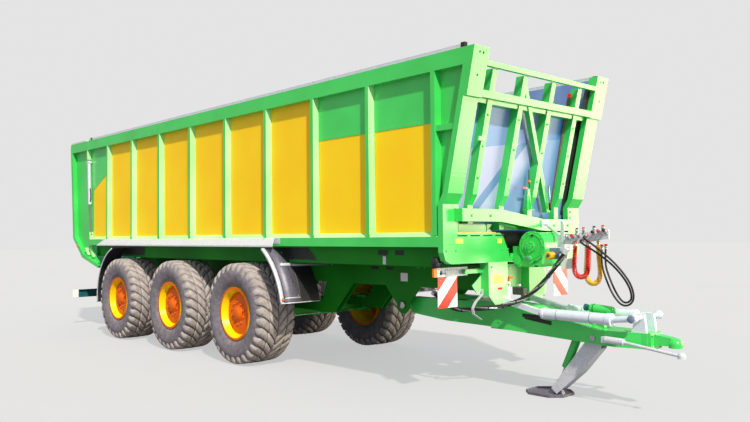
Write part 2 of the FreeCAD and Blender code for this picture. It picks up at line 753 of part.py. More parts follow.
def chassis_frame():
    shapes = [rail()] + chassis_leg() + pivot_hanger()
    for axle_x in AXLE_X.values():
        shapes += arm_hanger(axle_x)
    tail = [
        (RAIL_REAR_X, RAIL_BOTTOM_Z),
        (RAIL_REAR_X + 260, RAIL_BOTTOM_Z),
        (RAIL_REAR_X + 120, LIGHT_BAR_Z[0] + 60),
        (LIGHT_BAR_X + 20, LIGHT_BAR_Z[0] + 30),
        (LIGHT_BAR_X + 20, LIGHT_BAR_Z[1] - 30),
        (RAIL_REAR_X, LIGHT_BAR_Z[1] - 20),
    ]
    shapes.append(prism_xz(tail, RAIL_OUTER_Y - 30, RAIL_OUTER_Y - 10))
    right = [mirrored(s) for s in shapes]
    z_mid = (RAIL_BOTTOM_Z + RAIL_TOP_Z) / 2
    inner = RAIL_OUTER_Y - RAIL_WIDTH + 1
    crosses = []
    for x in (RAIL_REAR_X + 40, -1150.0, 680.0, 2510.0, 3700.0, 4700.0):
        crosses.append(box(x, x + 100, -inner, inner, z_mid - CROSS_HEIGHT / 2, z_mid + CROSS_HEIGHT / 2))
    x1 = POST_FOOT_X
    crosses.append(
        box(x1 - LEG_DEPTH, x1 - LEG_DEPTH + 12, -LEG_OUTER_Y, LEG_OUTER_Y, RAIL_BOTTOM_Z, RAIL_TOP_Z)
    )
    return fuse(shapes + right + crosses)


def floor_frame():
    y1 = SIDE_MEMBER_OUTER_Y
    y0 = y1 - SIDE_MEMBER_WIDTH
    x0 = DRUM_REAR_X - 60
    x1 = POST_FOOT_X - POST_DEPTH - 15
    w = 8.0
    member = box(x0, x1, y0, y1, RAIL_TOP_Z, SILL_BOTTOM_Z)
    member = member.cut(box(x0 - 1, x1 + 1, y0 - 1, y1 - w, RAIL_TOP_Z + w, SILL_BOTTOM_Z - w))
    shapes = both_sides(member)
    x = RIB_FIRST_X
    while x < x1 - 100:
        shapes.append(box(x - 40, x + 40, -y1 + w / 2, y1 - w / 2, RAIL_TOP_Z, RAIL_TOP_Z + 120))
        x += BEARER_PITCH
    return fuse(shapes)


def floor_deck():
    y = PANEL_INNER_Y - SEAT_GAP
    z0 = DECK_TOP_Z - DECK_THICKNESS
    x0 = DRUM_REAR_X + DRUM_RADIUS + 15
    x1 = DRUM_FRONT_X - DRUM_RADIUS - 15
    shapes = [box(x0, x1, -y, y, z0, DECK_TOP_Z)]
    x = RIB_FIRST_X
    inner = SILL_INNER_Y
    while x < x1 - 50:
        shapes.append(box(x - 30, x + 30, -inner, inner, DRUM_Z - 30, z0 + 1))
        x += BEARER_PITCH
    return fuse(shapes)


def belt_loop(radius):
    """Outline of a loop round both drums at this distance from their centres."""
    a = V(DRUM_REAR_X, 0, DRUM_Z + radius)
    b = V(DRUM_FRONT_X, 0, DRUM_Z + radius)
    c = V(DRUM_FRONT_X, 0, DRUM_Z - radius)
    d = V(DRUM_REAR_X, 0, DRUM_Z - radius)
    nose = Part.Arc(b, V(DRUM_FRONT_X + radius, 0, DRUM_Z), c)
    tail = Part.Arc(d, V(DRUM_REAR_X - radius, 0, DRUM_Z), a)
    edges = [Part.LineSegment(a, b), nose, Part.LineSegment(c, d), tail]
    return Part.Face(Part.Wire([e.toShape() for e in edges]))


def floor_belt():
    inner = DRUM_RADIUS + BELT_CLEARANCE
    outer = inner + BELT_THICKNESS
    ring = belt_loop(outer).extrude(V(0, 2 * BELT_HALF_WIDTH, 0))
    core = belt_loop(inner).extrude(V(0, 2 * BELT_HALF_WIDTH, 0))
    shape = ring.cut(core)
    shape.translate(V(0, -BELT_HALF_WIDTH, 0))
    return shape


def belt_drums():
    drums = []
    for x in (DRUM_FRONT_X, DRUM_REAR_X):
        drum = rod_y(x, DRUM_Z, -DRUM_HALF_WIDTH, DRUM_HALF_WIDTH, DRUM_RADIUS)
        reach = SILL_INNER_Y - SEAT_GAP
        shaft = rod_y(x, DRUM_Z, -reach, reach, DRUM_SHAFT_RADIUS)
        drums.append(fuse([drum, shaft]))
    return Part.makeCompound(drums)


# ----------------------------------------------------------------------- sides
def rib(x, z0, z1):
    """Folded rib, open towards the panel."""
    base = RIB_BASE_WIDTH / 2
    face = RIB_FACE_WIDTH / 2
    y0 = PANEL_OUTER_Y
    y1 = RIB_FACE_Y
    w = RIB_WALL
    outer = prism_xy([(x - base, y0), (x + base, y0), (x + face, y1), (x - face, y1)], z0, z1)
    inner = prism_xy(
        [(x - base + w, y0 - 1), (x + base - w, y0 - 1), (x + face - w, y1 - w), (x - face + w, y1 - w)],
        z0 - 1,
        z1 + 1,
    )
    return outer.cut(inner)


def sill():
    points = [
        (RIB_FACE_Y, SILL_BOTTOM_Z),
        (RIB_FACE_Y, SILL_SHOULDER_Z),
        (PANEL_OUTER_Y, SILL_TOP_Z),
        (PANEL_INNER_Y, SILL_TOP_Z),
        (PANEL_INNER_Y, DECK_TOP_Z - DECK_THICKNESS),
        (SILL_INNER_Y, DECK_TOP_Z - DECK_THICKNESS),
        (SILL_INNER_Y, SILL_BOTTOM_Z),
    ]
    front_x = POST_FOOT_X - POST_DEPTH - SEAT_GAP
    bar = prism_yz(points, SIDE_REAR_X, front_x)
    w = SILL_WALL
    floor_z = DECK_TOP_Z - DECK_THICKNESS
    hollow = [
        (RIB_FACE_Y - w, SILL_BOTTOM_Z + w),
        (RIB_FACE_Y - w, SILL_SHOULDER_Z - w),
        (PANEL_OUTER_Y, floor_z - w),
        (SILL_INNER_Y + w, floor_z - w),
        (SILL_INNER_Y + w, SILL_BOTTOM_Z + w),
    ]
    return bar.cut(prism_yz(hollow, SIDE_REAR_X + w, front_x - w))


def top_beam():
    z0 = TOP_BEAM_BOTTOM_Z
    rear_edge = [
        (SIDE_REAR_X, z0),
        (post_front_x(z0) - POST_DEPTH, z0),
        (post_front_x(BOX_TOP_Z) - POST_DEPTH, BOX_TOP_Z),
        (SIDE_REAR_X, BOX_TOP_Z),
    ]
    beam = prism_xz(rear_edge, PANEL_INNER_Y, RIB_FACE_Y)
    w = BEAM_WALL
    x1 = post_front_x(z0) - POST_DEPTH - w
    inner = box(SIDE_REAR_X + w, x1, PANEL_INNER_Y + w, RIB_FACE_Y - w, z0 + w, BOX_TOP_Z - w)
    return beam.cut(inner)


def side_frame():
    last_rib_x = RIB_FIRST_X + (RIB_COUNT - 1) * RIB_PITCH
    y0 = PANEL_OUTER_Y
    shapes = [sill(), top_beam()]
    for i in range(RIB_COUNT):
        shapes.append(rib(RIB_FIRST_X + i * RIB_PITCH, SILL_SHOULDER_Z - 5, TOP_BEAM_BOTTOM_Z + 2))
    shapes.append(box(SIDE_REAR_X, SIDE_REAR_X + 65, PANEL_INNER_Y, y0 + 4, SILL_TOP_Z, TOP_BEAM_BOTTOM_Z + 2))
    nose = [
        (last_rib_x, SILL_TOP_Z - 20),
        (post_front_x(SILL_TOP_Z) - POST_DEPTH, SILL_TOP_Z - 20),
        (post_front_x(POST_KINK_LOW_Z) - POST_DEPTH, POST_KINK_LOW_Z),
        (post_front_x(POST_KINK_HIGH_Z) - POST_DEPTH, POST_KINK_HIGH_Z),
        (post_front_x(TOP_BEAM_BOTTOM_Z) - POST_DEPTH, TOP_BEAM_BOTTOM_Z + 2),
        (last_rib_x, TOP_BEAM_BOTTOM_Z + 2),
    ]
    shapes.append(prism_xz(nose, PANEL_INNER_Y, y0))
    z0, z1 = [BOX_TOP_Z - drop for drop in CROSS_RIB_DROP]
    cross_rib_front = post_front_x(z0) - POST_DEPTH
    shapes.append(box(last_rib_x, cross_rib_front, y0 - 1, RIB_FACE_Y - 12, z0, z1))
    sign_x0 = last_rib_x - 2 * RIB_PITCH
    sign_x1 = last_rib_x + RIB_FACE_WIDTH / 4
    shapes.append(box(sign_x0, sign_x1, y0, y0 + SIGN_PANEL_THICKNESS, SIGN_PANEL_Z, TOP_BEAM_BOTTOM_Z + 2))
    gusset = [
        (SIDE_REAR_X + 20, TOP_BEAM_BOTTOM_Z + 2),
        (SIDE_REAR_X + 20, 2600.0),
        (RIB_FIRST_X, 2960.0),
        (RIB_FIRST_X, TOP_BEAM_BOTTOM_Z + 2),
    ]
    shapes.append(prism_xz(gusset, y0, y0 + SIGN_PANEL_THICKNESS))
    shapes += gate_hinge_ear()
    shapes += gate_ram_foot()
    return fuse(shapes)


def gate_hinge_ear():
    y = RIB_FACE_Y - 40
    ear = prism_xz(
        [(HINGE_X - 4, BOX_TOP_Z - 1), (HINGE_X + 70, BOX_TOP_Z - 1), (HINGE_X + 30, HINGE_Z), (HINGE_X - 4, HINGE_Z)],
        y,
        y + 14,
    )
    eye = rod_y(HINGE_X, HINGE_Z, y, y + 14, HINGE_EYE_RADIUS)
    pin = rod_y(HINGE_X, HINGE_Z, y - 22, y + 18, HINGE_PIN_RADIUS)
    return [ear, eye, pin]


def gate_ram_foot():
    x, z = GATE_RAM_FOOT
    y0 = PANEL_OUTER_Y
    eye_y0 = GATE_RAM_Y - 18
    eye_y1 = GATE_RAM_Y + 18
    base_top = z - EYE_RADIUS - 7
    base = box(SIDE_REAR_X, x + 45, y0, RIB_FACE_Y - 2, SILL_SHOULDER_Z - 40, base_top)
    inner = box(SIDE_REAR_X, x + 30, y0, eye_y0 - SEAT_GAP, base_top - 1, z + 24)
    outer = box(SIDE_REAR_X, x + 30, eye_y1 + SEAT_GAP, RIB_FACE_Y - 2, base_top - 1, z + 24)
    pin = rod_y(x, z, y0, RIB_FACE_Y - 2, EYE_PIN_RADIUS)
    return [base, inner, outer, pin]


def side_panel():
    """Sheet between the rear post and the front rib, behind the ribs."""
    last_rib_x = RIB_FIRST_X + (RIB_COUNT - 1) * RIB_PITCH
    return box(SIDE_REAR_X + 65, last_rib_x, PANEL_INNER_Y, PANEL_OUTER_Y, SILL_TOP_Z, TOP_BEAM_BOTTOM_Z)


def top_rail():
    """Galvanised edge profile along the top beam."""
    y1 = RIB_FACE_Y - 8
    y0 = y1 - TOP_RAIL_WIDTH
    x0 = HINGE_X + 90
    x1 = post_front_x(BOX_TOP_Z) - POST_DEPTH - 20
    z1 = BOX_TOP_Z + TOP_RAIL_HEIGHT
    points = [(y0, BOX_TOP_Z), (y1, BOX_TOP_Z), (y1, z1 - 10), (y1 - 10, z1), (y0, z1)]
    return prism_yz(points, x0, x1)


def spray_deflector():
    """Folded galvanised strip over the wheels, on the sill's face."""
    y0 = RIB_FACE_Y
    y1 = y0 + DEFLECTOR_REACH
    t = DEFLECTOR_SHEET
    top = SILL_SHOULDER_Z
    low = SILL_BOTTOM_Z + 8
    section = [
        (y0, top),
        (y0 + 12, top),
        (y1, low),
        (y1, low - 18),
        (y1 - t, low - 18),
        (y1 - t, low - t),
        (y0 + 12, top - 1.6 * t),
        (y0 + t, top - 1.6 * t),
        (y0 + t, SILL_BOTTOM_Z + 30),
        (y0, SILL_BOTTOM_Z + 30),
    ]
    x0 = DEFLECTOR_REAR_X
    x1 = DEFLECTOR_FRONT_X
    strip = prism_yz(section, x0, x1)
    z0 = low - 20
    for a, b in ((x0 - 1, x0 + 160), (x1 + 1, x1 - 110)):
        corner = prism_xz([(a, z0), (b, top + 1), (a, top + 1)], y0 + t, y1 + 1)
        strip = strip.cut(corner)
    return strip


# ------------------------------------------------------------------- headboard
def headboard_post():
    y1 = RIB_FACE_Y
    y0 = y1 - POST_WIDTH
    heights = [CONSOLE_TOP_Z, POST_KINK_LOW_Z, POST_KINK_HIGH_Z, BOX_TOP_Z]
    front = [(post_front_x(z), z) for z in heights]
    back = [(x - POST_DEPTH, z) for x, z in reversed(front)]
    outer = prism_xz(front + back, y0, y1)
    w = POST_WALL
    front_in = [(post_front_x(z) - w, z) for z in heights]
    back_in = [(x - POST_DEPTH - 20, z) for x, z in reversed(front)]
    inner = prism_xz(front_in + back_in, y0 + w, y1 - w)
    cap = box(post_front_x(BOX_TOP_Z) - POST_DEPTH, post_front_x(BOX_TOP_Z), y0, y1, BOX_TOP_Z - w, BOX_TOP_Z)
    return fuse([outer.cut(inner), cap])


def ladder_plate():
    """Plate on the post's upper face that carries the two crossbars."""
    y1 = RIB_FACE_Y
    y0 = y1 - POST_WIDTH
    plate = leaning_bar(LADDER_BOTTOM_Z, BOX_TOP_Z, -1, LADDER_DEPTH, y0, y1)
    for y, z in ((y1 - 95, 3500.0), (y1 - 150, 3496.0), (y1 - 110, 3280.0)):
        plate = plate.cut(rod((5600, y, z), (6000, y, z), 13))
    return plate


def front_beam():
    """Box beam between the posts' feet, lower on the winch's side, open to the rear."""
    w = POST_WALL
    x0 = POST_FOOT_X - 1
    x1 = POST_FOOT_X + FRONT_BEAM_DEPTH
    end = RIB_FACE_Y - POST_WIDTH + 60
    bend0, bend1 = FRONT_BEAM_BEND_Y

    def outline(inset):
        z0 = FRONT_BEAM_Z[0] + inset
        z1 = FRONT_BEAM_Z[1] - inset
        low = FRONT_BEAM_DROP
        return [
            (-end + inset, z0),
            (bend0, z0),
            (bend1, z0 - low),
            (end - inset, z0 - low),
            (end - inset, z1 - low),
            (bend1, z1 - low),
            (bend0, z1),
            (-end + inset, z1),
        ]

    return prism_yz(outline(0), x0, x1).cut(prism_yz(outline(w), x0 - 1, x1 - w))


def headboard_frame():
    y0 = RIB_FACE_Y - POST_WIDTH
    half = [headboard_post(), ladder_plate()]
    shapes = half + [mirrored(s) for s in half]
    z0, z1 = LADDER_UPPER_BAR_Z
    shapes.append(leaning_bar(z0, z1, 2, LADDER_DEPTH, -y0 - 2, y0 + 2))
    z0, z1 = LADDER_LOWER_BAR_Z
    shapes.append(leaning_bar(z0, z1, 2, LADDER_DEPTH, -y0 - 2, y0 + 2))
    shapes.append(front_beam())
    return fuse(shapes)


def front_console():
    """Folded plates below the posts, open to the rear, with slots near the top."""
    x1 = POST_FOOT_X
    x0 = x1 - POST_DEPTH
    w = POST_WALL
    inner_y = LEG_INNER_Y
    top = CONSOLE_TOP_Z
    bottom = CONSOLE_BOTTOM_Z

    def outline(inset):
        return [
            (RIB_FACE_Y - inset, top - inset),
            (RIB_FACE_Y - inset, bottom + 120),
            (RIB_FACE_Y - 35 - inset, bottom + 35 + inset),
            (RIB_FACE_Y - 120, bottom + inset),
            (inner_y + inset, bottom + inset),
            (inner_y + 35 + inset, bottom + 110),
            (inner_y + 120 + inset, bottom + 262),
            (inner_y + 180 + inset, top - inset),
        ]

    shell = prism_yz(outline(0), x0, x1).cut(prism_yz(outline(w), x0 - 1, x1 - w))
    crest = [
        (RIB_FACE_Y - POST_WIDTH - 5, top - w),
        (RIB_FACE_Y - POST_WIDTH - 5, CONSOLE_CREST_Z),
        (inner_y + 460, CONSOLE_CREST_Z),
        (inner_y + 300, top),
        (inner_y + 300, top - w),
    ]
    for y0 in (875, 667, 457, 250):
        slot = box(x1 - w - 1, x1 + 1, y0, y0 + 160, top - 35, top - 20)
        shell = shell.cut(slot)
    bridge = box(x1 - w, x1, -inner_y - 5, inner_y + 5, bottom, bottom + 90)
    crest_plate = mirrored(prism_yz(crest, x1 - w, x1))
    return fuse([shell, mirrored(shell), bridge, crest_plate])


def winch_gearbox():
    """Drive housing of the belt: drum casing across the trailer on a lobed foot."""
    x, z, r = 5715.0, 1575.0, 152.0
    y0, y1 = -104.0, 330.0
    casing = rod_y(x, z, y0, y1, r)
    flange = rod_y(x, z, y0 - 14, y0 + 1, r + 14)
    foot_profile = [
        (POST_FOOT_X + SEAT_GAP, z - 170),
        (POST_FOOT_X + SEAT_GAP + 30, z - 225),
        (x + 75, z - 225),
        (x + 105, z - 190),
        (x + 145, z - 20),
        (POST_FOOT_X + SEAT_GAP, z),
    ]
    foot = prism_xz(foot_profile, y0 + 6, y1 - 6)
    lobe = rod_y(POST_FOOT_X + 62, z - 150, y0 - 8, y0 + 8, 52)
    cap = rod_y(x - 18, z - 6, y0 - 34, y0 - 13, 62)
    hub = rod_y(x - 18, z - 6, y0 - 46, y0 - 33, 26)
    boss = rod_y(x - 25, z - 130, y0 - 20, y0 + 8, 58)
    shaft = rod_y(x - 25, z - 130, y0 - 60, y0 - 19, 32)
    return fuse([casing, flange, foot, lobe, cap, hub, boss, shaft])


# ------------------------------------------------------------------- push wall
def wall_rib(y):
    """Upright between the pane and the posts' plane, cranked at its foot like the posts."""
    heights = [WALL_BOTTOM_Z, POST_KINK_LOW_Z, POST_KINK_HIGH_Z, WALL_TOP_Z]
    front = [(post_front_x(z) - WALL_FRONT_GAP, z) for z in heights]
    back = [(lean_x(z) - WALL_GAP + WALL_PANE, z) for z in (WALL_TOP_Z, WALL_BOTTOM_Z)]
    return prism_xz(front + back, y - WALL_RIB_WIDTH / 2, y + WALL_RIB_WIDTH / 2)


def wall_brace():
    """Square tube from the second rib's head down to the far side, between the ribs' faces."""
    half = WALL_BRACE_WIDTH / 2
    top_y = -WALL_RIB_PITCH / 2
    foot_y = WALL_RIB_PITCH / 2 + 330
    foot_z = POST_KINK_LOW_Z - 60
    slab = prism_yz(
        [(top_y - half, WALL_TOP_Z - 60), (top_y + half, WALL_TOP_Z - 60), (foot_y + half, foot_z), (foot_y - half, foot_z)],
        POST_FOOT_X - 200,
        POST_FOOT_X + 500,
    )
    plane = leaning_bar(foot_z, WALL_TOP_Z, -WALL_FRONT_GAP - WALL_BRACE_WIDTH, -WALL_FRONT_GAP, -foot_y - 100, foot_y + 100)
    return slab.common(plane)


def push_wall_frame():
    z0 = WALL_BOTTOM_Z
    z1 = WALL_PANE_TOP_Z
    back = -WALL_GAP + WALL_PANE
    front = back + WALL_EDGE_THICKNESS
    shapes = [wall_rib(i * WALL_RIB_PITCH) for i in (-1.5, -0.5, 0.5, 1.5)]
    half = WALL_FRAME_HALF_WIDTH
    edge = WALL_HALF_WIDTH
    shapes.append(leaning_bar(z1 - 90, z1, back, -WALL_FRONT_GAP - 10, -half, half))
    shapes.append(leaning_bar(z0, z0 + 60, back, front, -edge, edge))
    shapes.append(leaning_bar(z1 - 60, z1, back, front, -edge, edge))
    for s in (-1, 1):
        ys = sorted((s * (edge - 55), s * edge))
        shapes.append(leaning_bar(z0, z1, back, front, ys[0], ys[1]))
    for y in (-WALL_RIB_PITCH * 1.5, WALL_RIB_PITCH * 1.5):
        x = lean_x(z0) + back
        shapes.append(box(x - 100, x + 60, y - 40, y + 40, BELT_TOP_Z + BELT_CLEARANCE, z0 - 0.5))
        shapes.append(box(x + 10, x + 60, y - 40, y + 40, z0 - 1, z0 + 20))
    shapes.append(wall_brace())
    return fuse(shapes)


def push_wall_window():
    edge = WALL_HALF_WIDTH
    return leaning_bar(WALL_BOTTOM_Z, WALL_PANE_TOP_Z, -WALL_GAP, -WALL_GAP + WALL_PANE, -edge, edge)


# -------------------------------------------------------------------- tailgate
def gate_outline():
    """Side view of the tailgate's cheek."""
    front = SIDE_REAR_X - GATE_GAP
    return [
        (front, BOX_TOP_Z),
        (GATE_TOP_REAR_X, BOX_TOP_Z),
        (GATE_SHOULDER_X, GATE_SHOULDER_Z),
        (GATE_KNEE_X, GATE_KNEE_Z),
        (GATE_LOW_X, GATE_LOW_Z),
        (GATE_TOE_X, GATE_TOE_Z),
        (GATE_TOE_X + 60, GATE_TOE_Z + 40),
        (GATE_TOE_X - 250, GATE_TOE_Z + 190),
        (front, SILL_BOTTOM_Z),
    ]


def tailgate():
    front = SIDE_REAR_X - GATE_GAP
    cheek = prism_xz(gate_outline(), PANEL_INNER_Y, PANEL_INNER_Y + GATE_SHEET)
    outer_y = RIB_FACE_Y
    post = [
        (GATE_SHOULDER_X, GATE_SHOULDER_Z),
        (GATE_KNEE_X, GATE_KNEE_Z),
        (GATE_LOW_X, GATE_LOW_Z),
        (GATE_TOE_X, GATE_TOE_Z),
        (GATE_TOE_X + 60, GATE_TOE_Z + 40),
        (GATE_LOW_X + 40, GATE_LOW_Z + 70),
        (GATE_KNEE_X + GATE_POST_WIDTH, GATE_KNEE_Z + 25),
        (GATE_SHOULDER_X + GATE_POST_WIDTH, GATE_SHOULDER_Z),
    ]
    corner = prism_xz(post, PANEL_INNER_Y, outer_y)
    beam = prism_xz(
        [
            (front, BOX_TOP_Z),
            (GATE_TOP_REAR_X, BOX_TOP_Z),
            (GATE_SHOULDER_X, GATE_SHOULDER_Z),
            (GATE_SHOULDER_X + 5, TOP_BEAM_BOTTOM_Z),
            (front, TOP_BEAM_BOTTOM_Z),
        ],
        PANEL_INNER_Y,
        outer_y,
    )
    ear_y = RIB_FACE_Y - 40
    arm = prism_xz(
        [
            (HINGE_X, HINGE_Z + HINGE_EYE_RADIUS - 2),
            (HINGE_X - 150, BOX_TOP_Z),
            (HINGE_X - 150, BOX_TOP_Z - 5),
            (front, BOX_TOP_Z - 5),
            (front, BOX_TOP_Z + 6),
            (HINGE_X, HINGE_Z - HINGE_EYE_RADIUS + 2),
        ],
        ear_y - 18,
        ear_y - 4,
    )
    eye = rod_y(HINGE_X, HINGE_Z, ear_y - 18, ear_y - 4, HINGE_EYE_RADIUS)
    hole = rod_y(HINGE_X, HINGE_Z, ear_y - 30, ear_y + 5, HINGE_PIN_RADIUS + PIN_CLEARANCE)
    lug = fuse([arm, eye]).cut(hole)
    x, z = GATE_RAM_HEAD
    boss = rod_y(x, z, PANEL_INNER_Y + GATE_SHEET - 1, GATE_RAM_Y - GATE_BARREL_RADIUS - SEAT_GAP, EYE_RADIUS)
    half = [cheek, corner, beam, boss, lug]
    y = PANEL_INNER_Y + 1
    t = GATE_SHEET
    wall_points = [
        (GATE_SHOULDER_X, GATE_SHOULDER_Z),
        (GATE_KNEE_X, GATE_KNEE_Z),
        (GATE_LOW_X, GATE_LOW_Z),
        (GATE_TOE_X, GATE_TOE_Z),
        (GATE_TOE_X, GATE_TOE_Z + t),
        (GATE_LOW_X + 4, GATE_LOW_Z + t),
        (GATE_KNEE_X + t, GATE_KNEE_Z + 2),
        (GATE_SHOULDER_X + t, GATE_SHOULDER_Z),
    ]
    rear_wall = prism_xz(wall_points, -y, y)
    head = prism_xz(
        [
            (GATE_TOP_REAR_X, BOX_TOP_Z),
            (GATE_SHOULDER_X, GATE_SHOULDER_Z),
            (GATE_SHOULDER_X + 80, GATE_SHOULDER_Z),
            (GATE_SHOULDER_X + 80, BOX_TOP_Z),
        ],
        -y,
        y,
    )
    return fuse(half + [mirrored(s) for s in half] + [rear_wall, head])


def ram_direction():
    fx, fz = GATE_RAM_FOOT
    hx, hz = GATE_RAM_HEAD
    length = math.hypot(hx - fx, hz - fz)
    return (hx - fx) / length, (hz - fz) / length, length


def gate_rod():
    fx, fz = GATE_RAM_FOOT
    dx, dz, _ = ram_direction()
    y = GATE_RAM_Y
    eye = rod_y(fx, fz, y - 18, y + 18, EYE_RADIUS)
    shank = rod((fx, y, fz), (fx + dx * (GATE_ROD_LENGTH - 25), y, fz + dz * (GATE_ROD_LENGTH - 25)), GATE_ROD_RADIUS)
    near = GATE_ROD_LENGTH - 60
    piston = rod(
        (fx + dx * near, y, fz + dz * near),
        (fx + dx * GATE_ROD_LENGTH, y, fz + dz * GATE_ROD_LENGTH),
        GATE_BARREL_BORE - PIN_CLEARANCE,
    )
    whole = fuse([eye, shank, piston])
    return whole.cut(rod_y(fx, fz, y - 20, y + 20, EYE_PIN_RADIUS + PIN_CLEARANCE))


def gate_barrel():
    fx, fz = GATE_RAM_FOOT
    dx, dz, length = ram_direction()
    y = GATE_RAM_Y

    def at(distance):
        return (fx + dx * distance, y, fz + dz * distance)

    start = length - GATE_BARREL_LENGTH
    bore_end = length - EYE_RADIUS - 20
    body = rod(at(start), at(length), GATE_BARREL_RADIUS)
    body = body.cut(rod(at(start + 40), at(bore_end), GATE_BARREL_BORE))
    body = body.cut(rod(at(start - 1), at(start + 41), GATE_ROD_RADIUS + PIN_CLEARANCE))
    head_x, head_z = GATE_RAM_HEAD
    half = GATE_BARREL_RADIUS
    eye = rod_y(head_x, head_z, y - half, y + half, EYE_RADIUS + 8)
    return body.fuse(eye)


# --------------------------------------------------------------------- drawbar
def drawbar_plan(inset):
    half = [
        (DRAWBAR_PIVOT_X + 40, DRAWBAR_ARM_Y - inset),
        (DRAWBAR_PIVOT_X + 600, DRAWBAR_ARM_Y - inset),
        (DRAWBAR_NECK_X, DRAWBAR_HALF_WIDTH - inset),
        (6600.0, DRAWBAR_HALF_WIDTH - inset),
        (DRAWBAR_NOSE_X - 60, DRAWBAR_NOSE_HALF - inset),
        (DRAWBAR_NOSE_X - inset, DRAWBAR_NOSE_HALF - inset),
    ]
    return half + [(x, -y) for x, y in reversed(half)]


def drawbar_profile():
    return [
        (DRAWBAR_PIVOT_X + 30, DRAWBAR_PIVOT_Z - 95),
        (5295.0, 663.0),
        (6070.0, 628.0),
        (6714.0, 598.0),
        (DRAWBAR_NOSE_X, 600.0),
        (DRAWBAR_NOSE_X, DRAWBAR_FLAT[1]),
        DRAWBAR_FLAT,
        DRAWBAR_HUMP,
        DRAWBAR_CREST,
        (5200.0, 955.0),
        (DRAWBAR_PIVOT_X + 30, DRAWBAR_PIVOT_Z + 95),
    ]


def drawbar():
    profile = drawbar_profile()
    plan = drawbar_plan(0)
    outer = prism_xy(plan, 500, 1100).common(prism_xz(profile, -500, 500))
    gap = prism_xy(
        [
            (DRAWBAR_PIVOT_X, DRAWBAR_ARM_Y - DRAWBAR_ARM_WIDTH),
            (DRAWBAR_PIVOT_X + 560, DRAWBAR_ARM_Y - DRAWBAR_ARM_WIDTH),
            (DRAWBAR_NECK_X - 260, 90),
            (DRAWBAR_NECK_X - 260, -90),
            (DRAWBAR_PIVOT_X + 560, -DRAWBAR_ARM_Y + DRAWBAR_ARM_WIDTH),
            (DRAWBAR_PIVOT_X, -DRAWBAR_ARM_Y + DRAWBAR_ARM_WIDTH),
        ],
        500,
        1100,
    )
    w = DRAWBAR_WALL
    inner_y = DRAWBAR_HALF_WIDTH - w
    hollow_profile = [
        (DRAWBAR_NECK_X + 60, 500.0),
        (DRAWBAR_NOSE_X - 130, 500.0),
        (DRAWBAR_NOSE_X - 130, DRAWBAR_FLAT[1] - w),
        (DRAWBAR_FLAT[0], DRAWBAR_FLAT[1] - w),
        (DRAWBAR_HUMP[0], DRAWBAR_HUMP[1] - w),
        (DRAWBAR_CREST[0], DRAWBAR_CREST[1] - w),
        (DRAWBAR_NECK_X + 60, DRAWBAR_CREST[1] - w),
    ]
    plan_in = drawbar_plan(w)
    hollow = prism_xy(plan_in, 490, 1100).common(prism_xz(hollow_profile, -inner_y, inner_y))
    body = outer.cut(gap).cut(hollow)
    floor_rear = box(DRAWBAR_NECK_X + 40, 5830.0, -inner_y - 2, inner_y + 2, 655.0, 655.0 + w)
    floor_front = box(6590.0, 6900.0, -DRAWBAR_NOSE_HALF - 10, DRAWBAR_NOSE_HALF + 10, 610.0, 610.0 + w)
    y = RAIL_OUTER_Y - HANGER_PLATE - SEAT_GAP
    pivot = rod_y(DRAWBAR_PIVOT_X, DRAWBAR_PIVOT_Z, -y, y, DRAWBAR_PIVOT_RADIUS)
    pivot = pivot.cut(rod_y(DRAWBAR_PIVOT_X, DRAWBAR_PIVOT_Z, y - 75, y + 5, 30 + PIN_CLEARANCE))
    pivot = pivot.cut(rod_y(DRAWBAR_PIVOT_X, DRAWBAR_PIVOT_Z, -y - 5, -y + 75, 30 + PIN_CLEARANCE))
    necks = []
    for s in (-1, 1):
        ys = sorted((s * (DRAWBAR_ARM_Y - DRAWBAR_ARM_WIDTH), s * DRAWBAR_ARM_Y))
        necks.append(
            box(DRAWBAR_PIVOT_X + 20, DRAWBAR_PIVOT_X + 60, ys[0], ys[1], DRAWBAR_PIVOT_Z - 40, DRAWBAR_PIVOT_Z + 40)
        )
    px, pz = STAND_PIVOT
    stand_pin = rod_y(px, pz, -inner_y - 2, inner_y + 2, 28)
    tx, tz = STAND_RAM_TOP
    ram_pin = rod_y(tx, tz, -inner_y - 2, inner_y + 2, 22)
    x0, x1, z0, z1 = DRAWBAR_SLOT
    slot = box(x0, x1, -DRAWBAR_HALF_WIDTH - 5, -DRAWBAR_HALF_WIDTH + 6, z0, z1)
    whole = fuse([body, floor_rear, floor_front, pivot, stand_pin, ram_pin] + necks)
    return whole.cut(slot).cut(mirrored(slot))


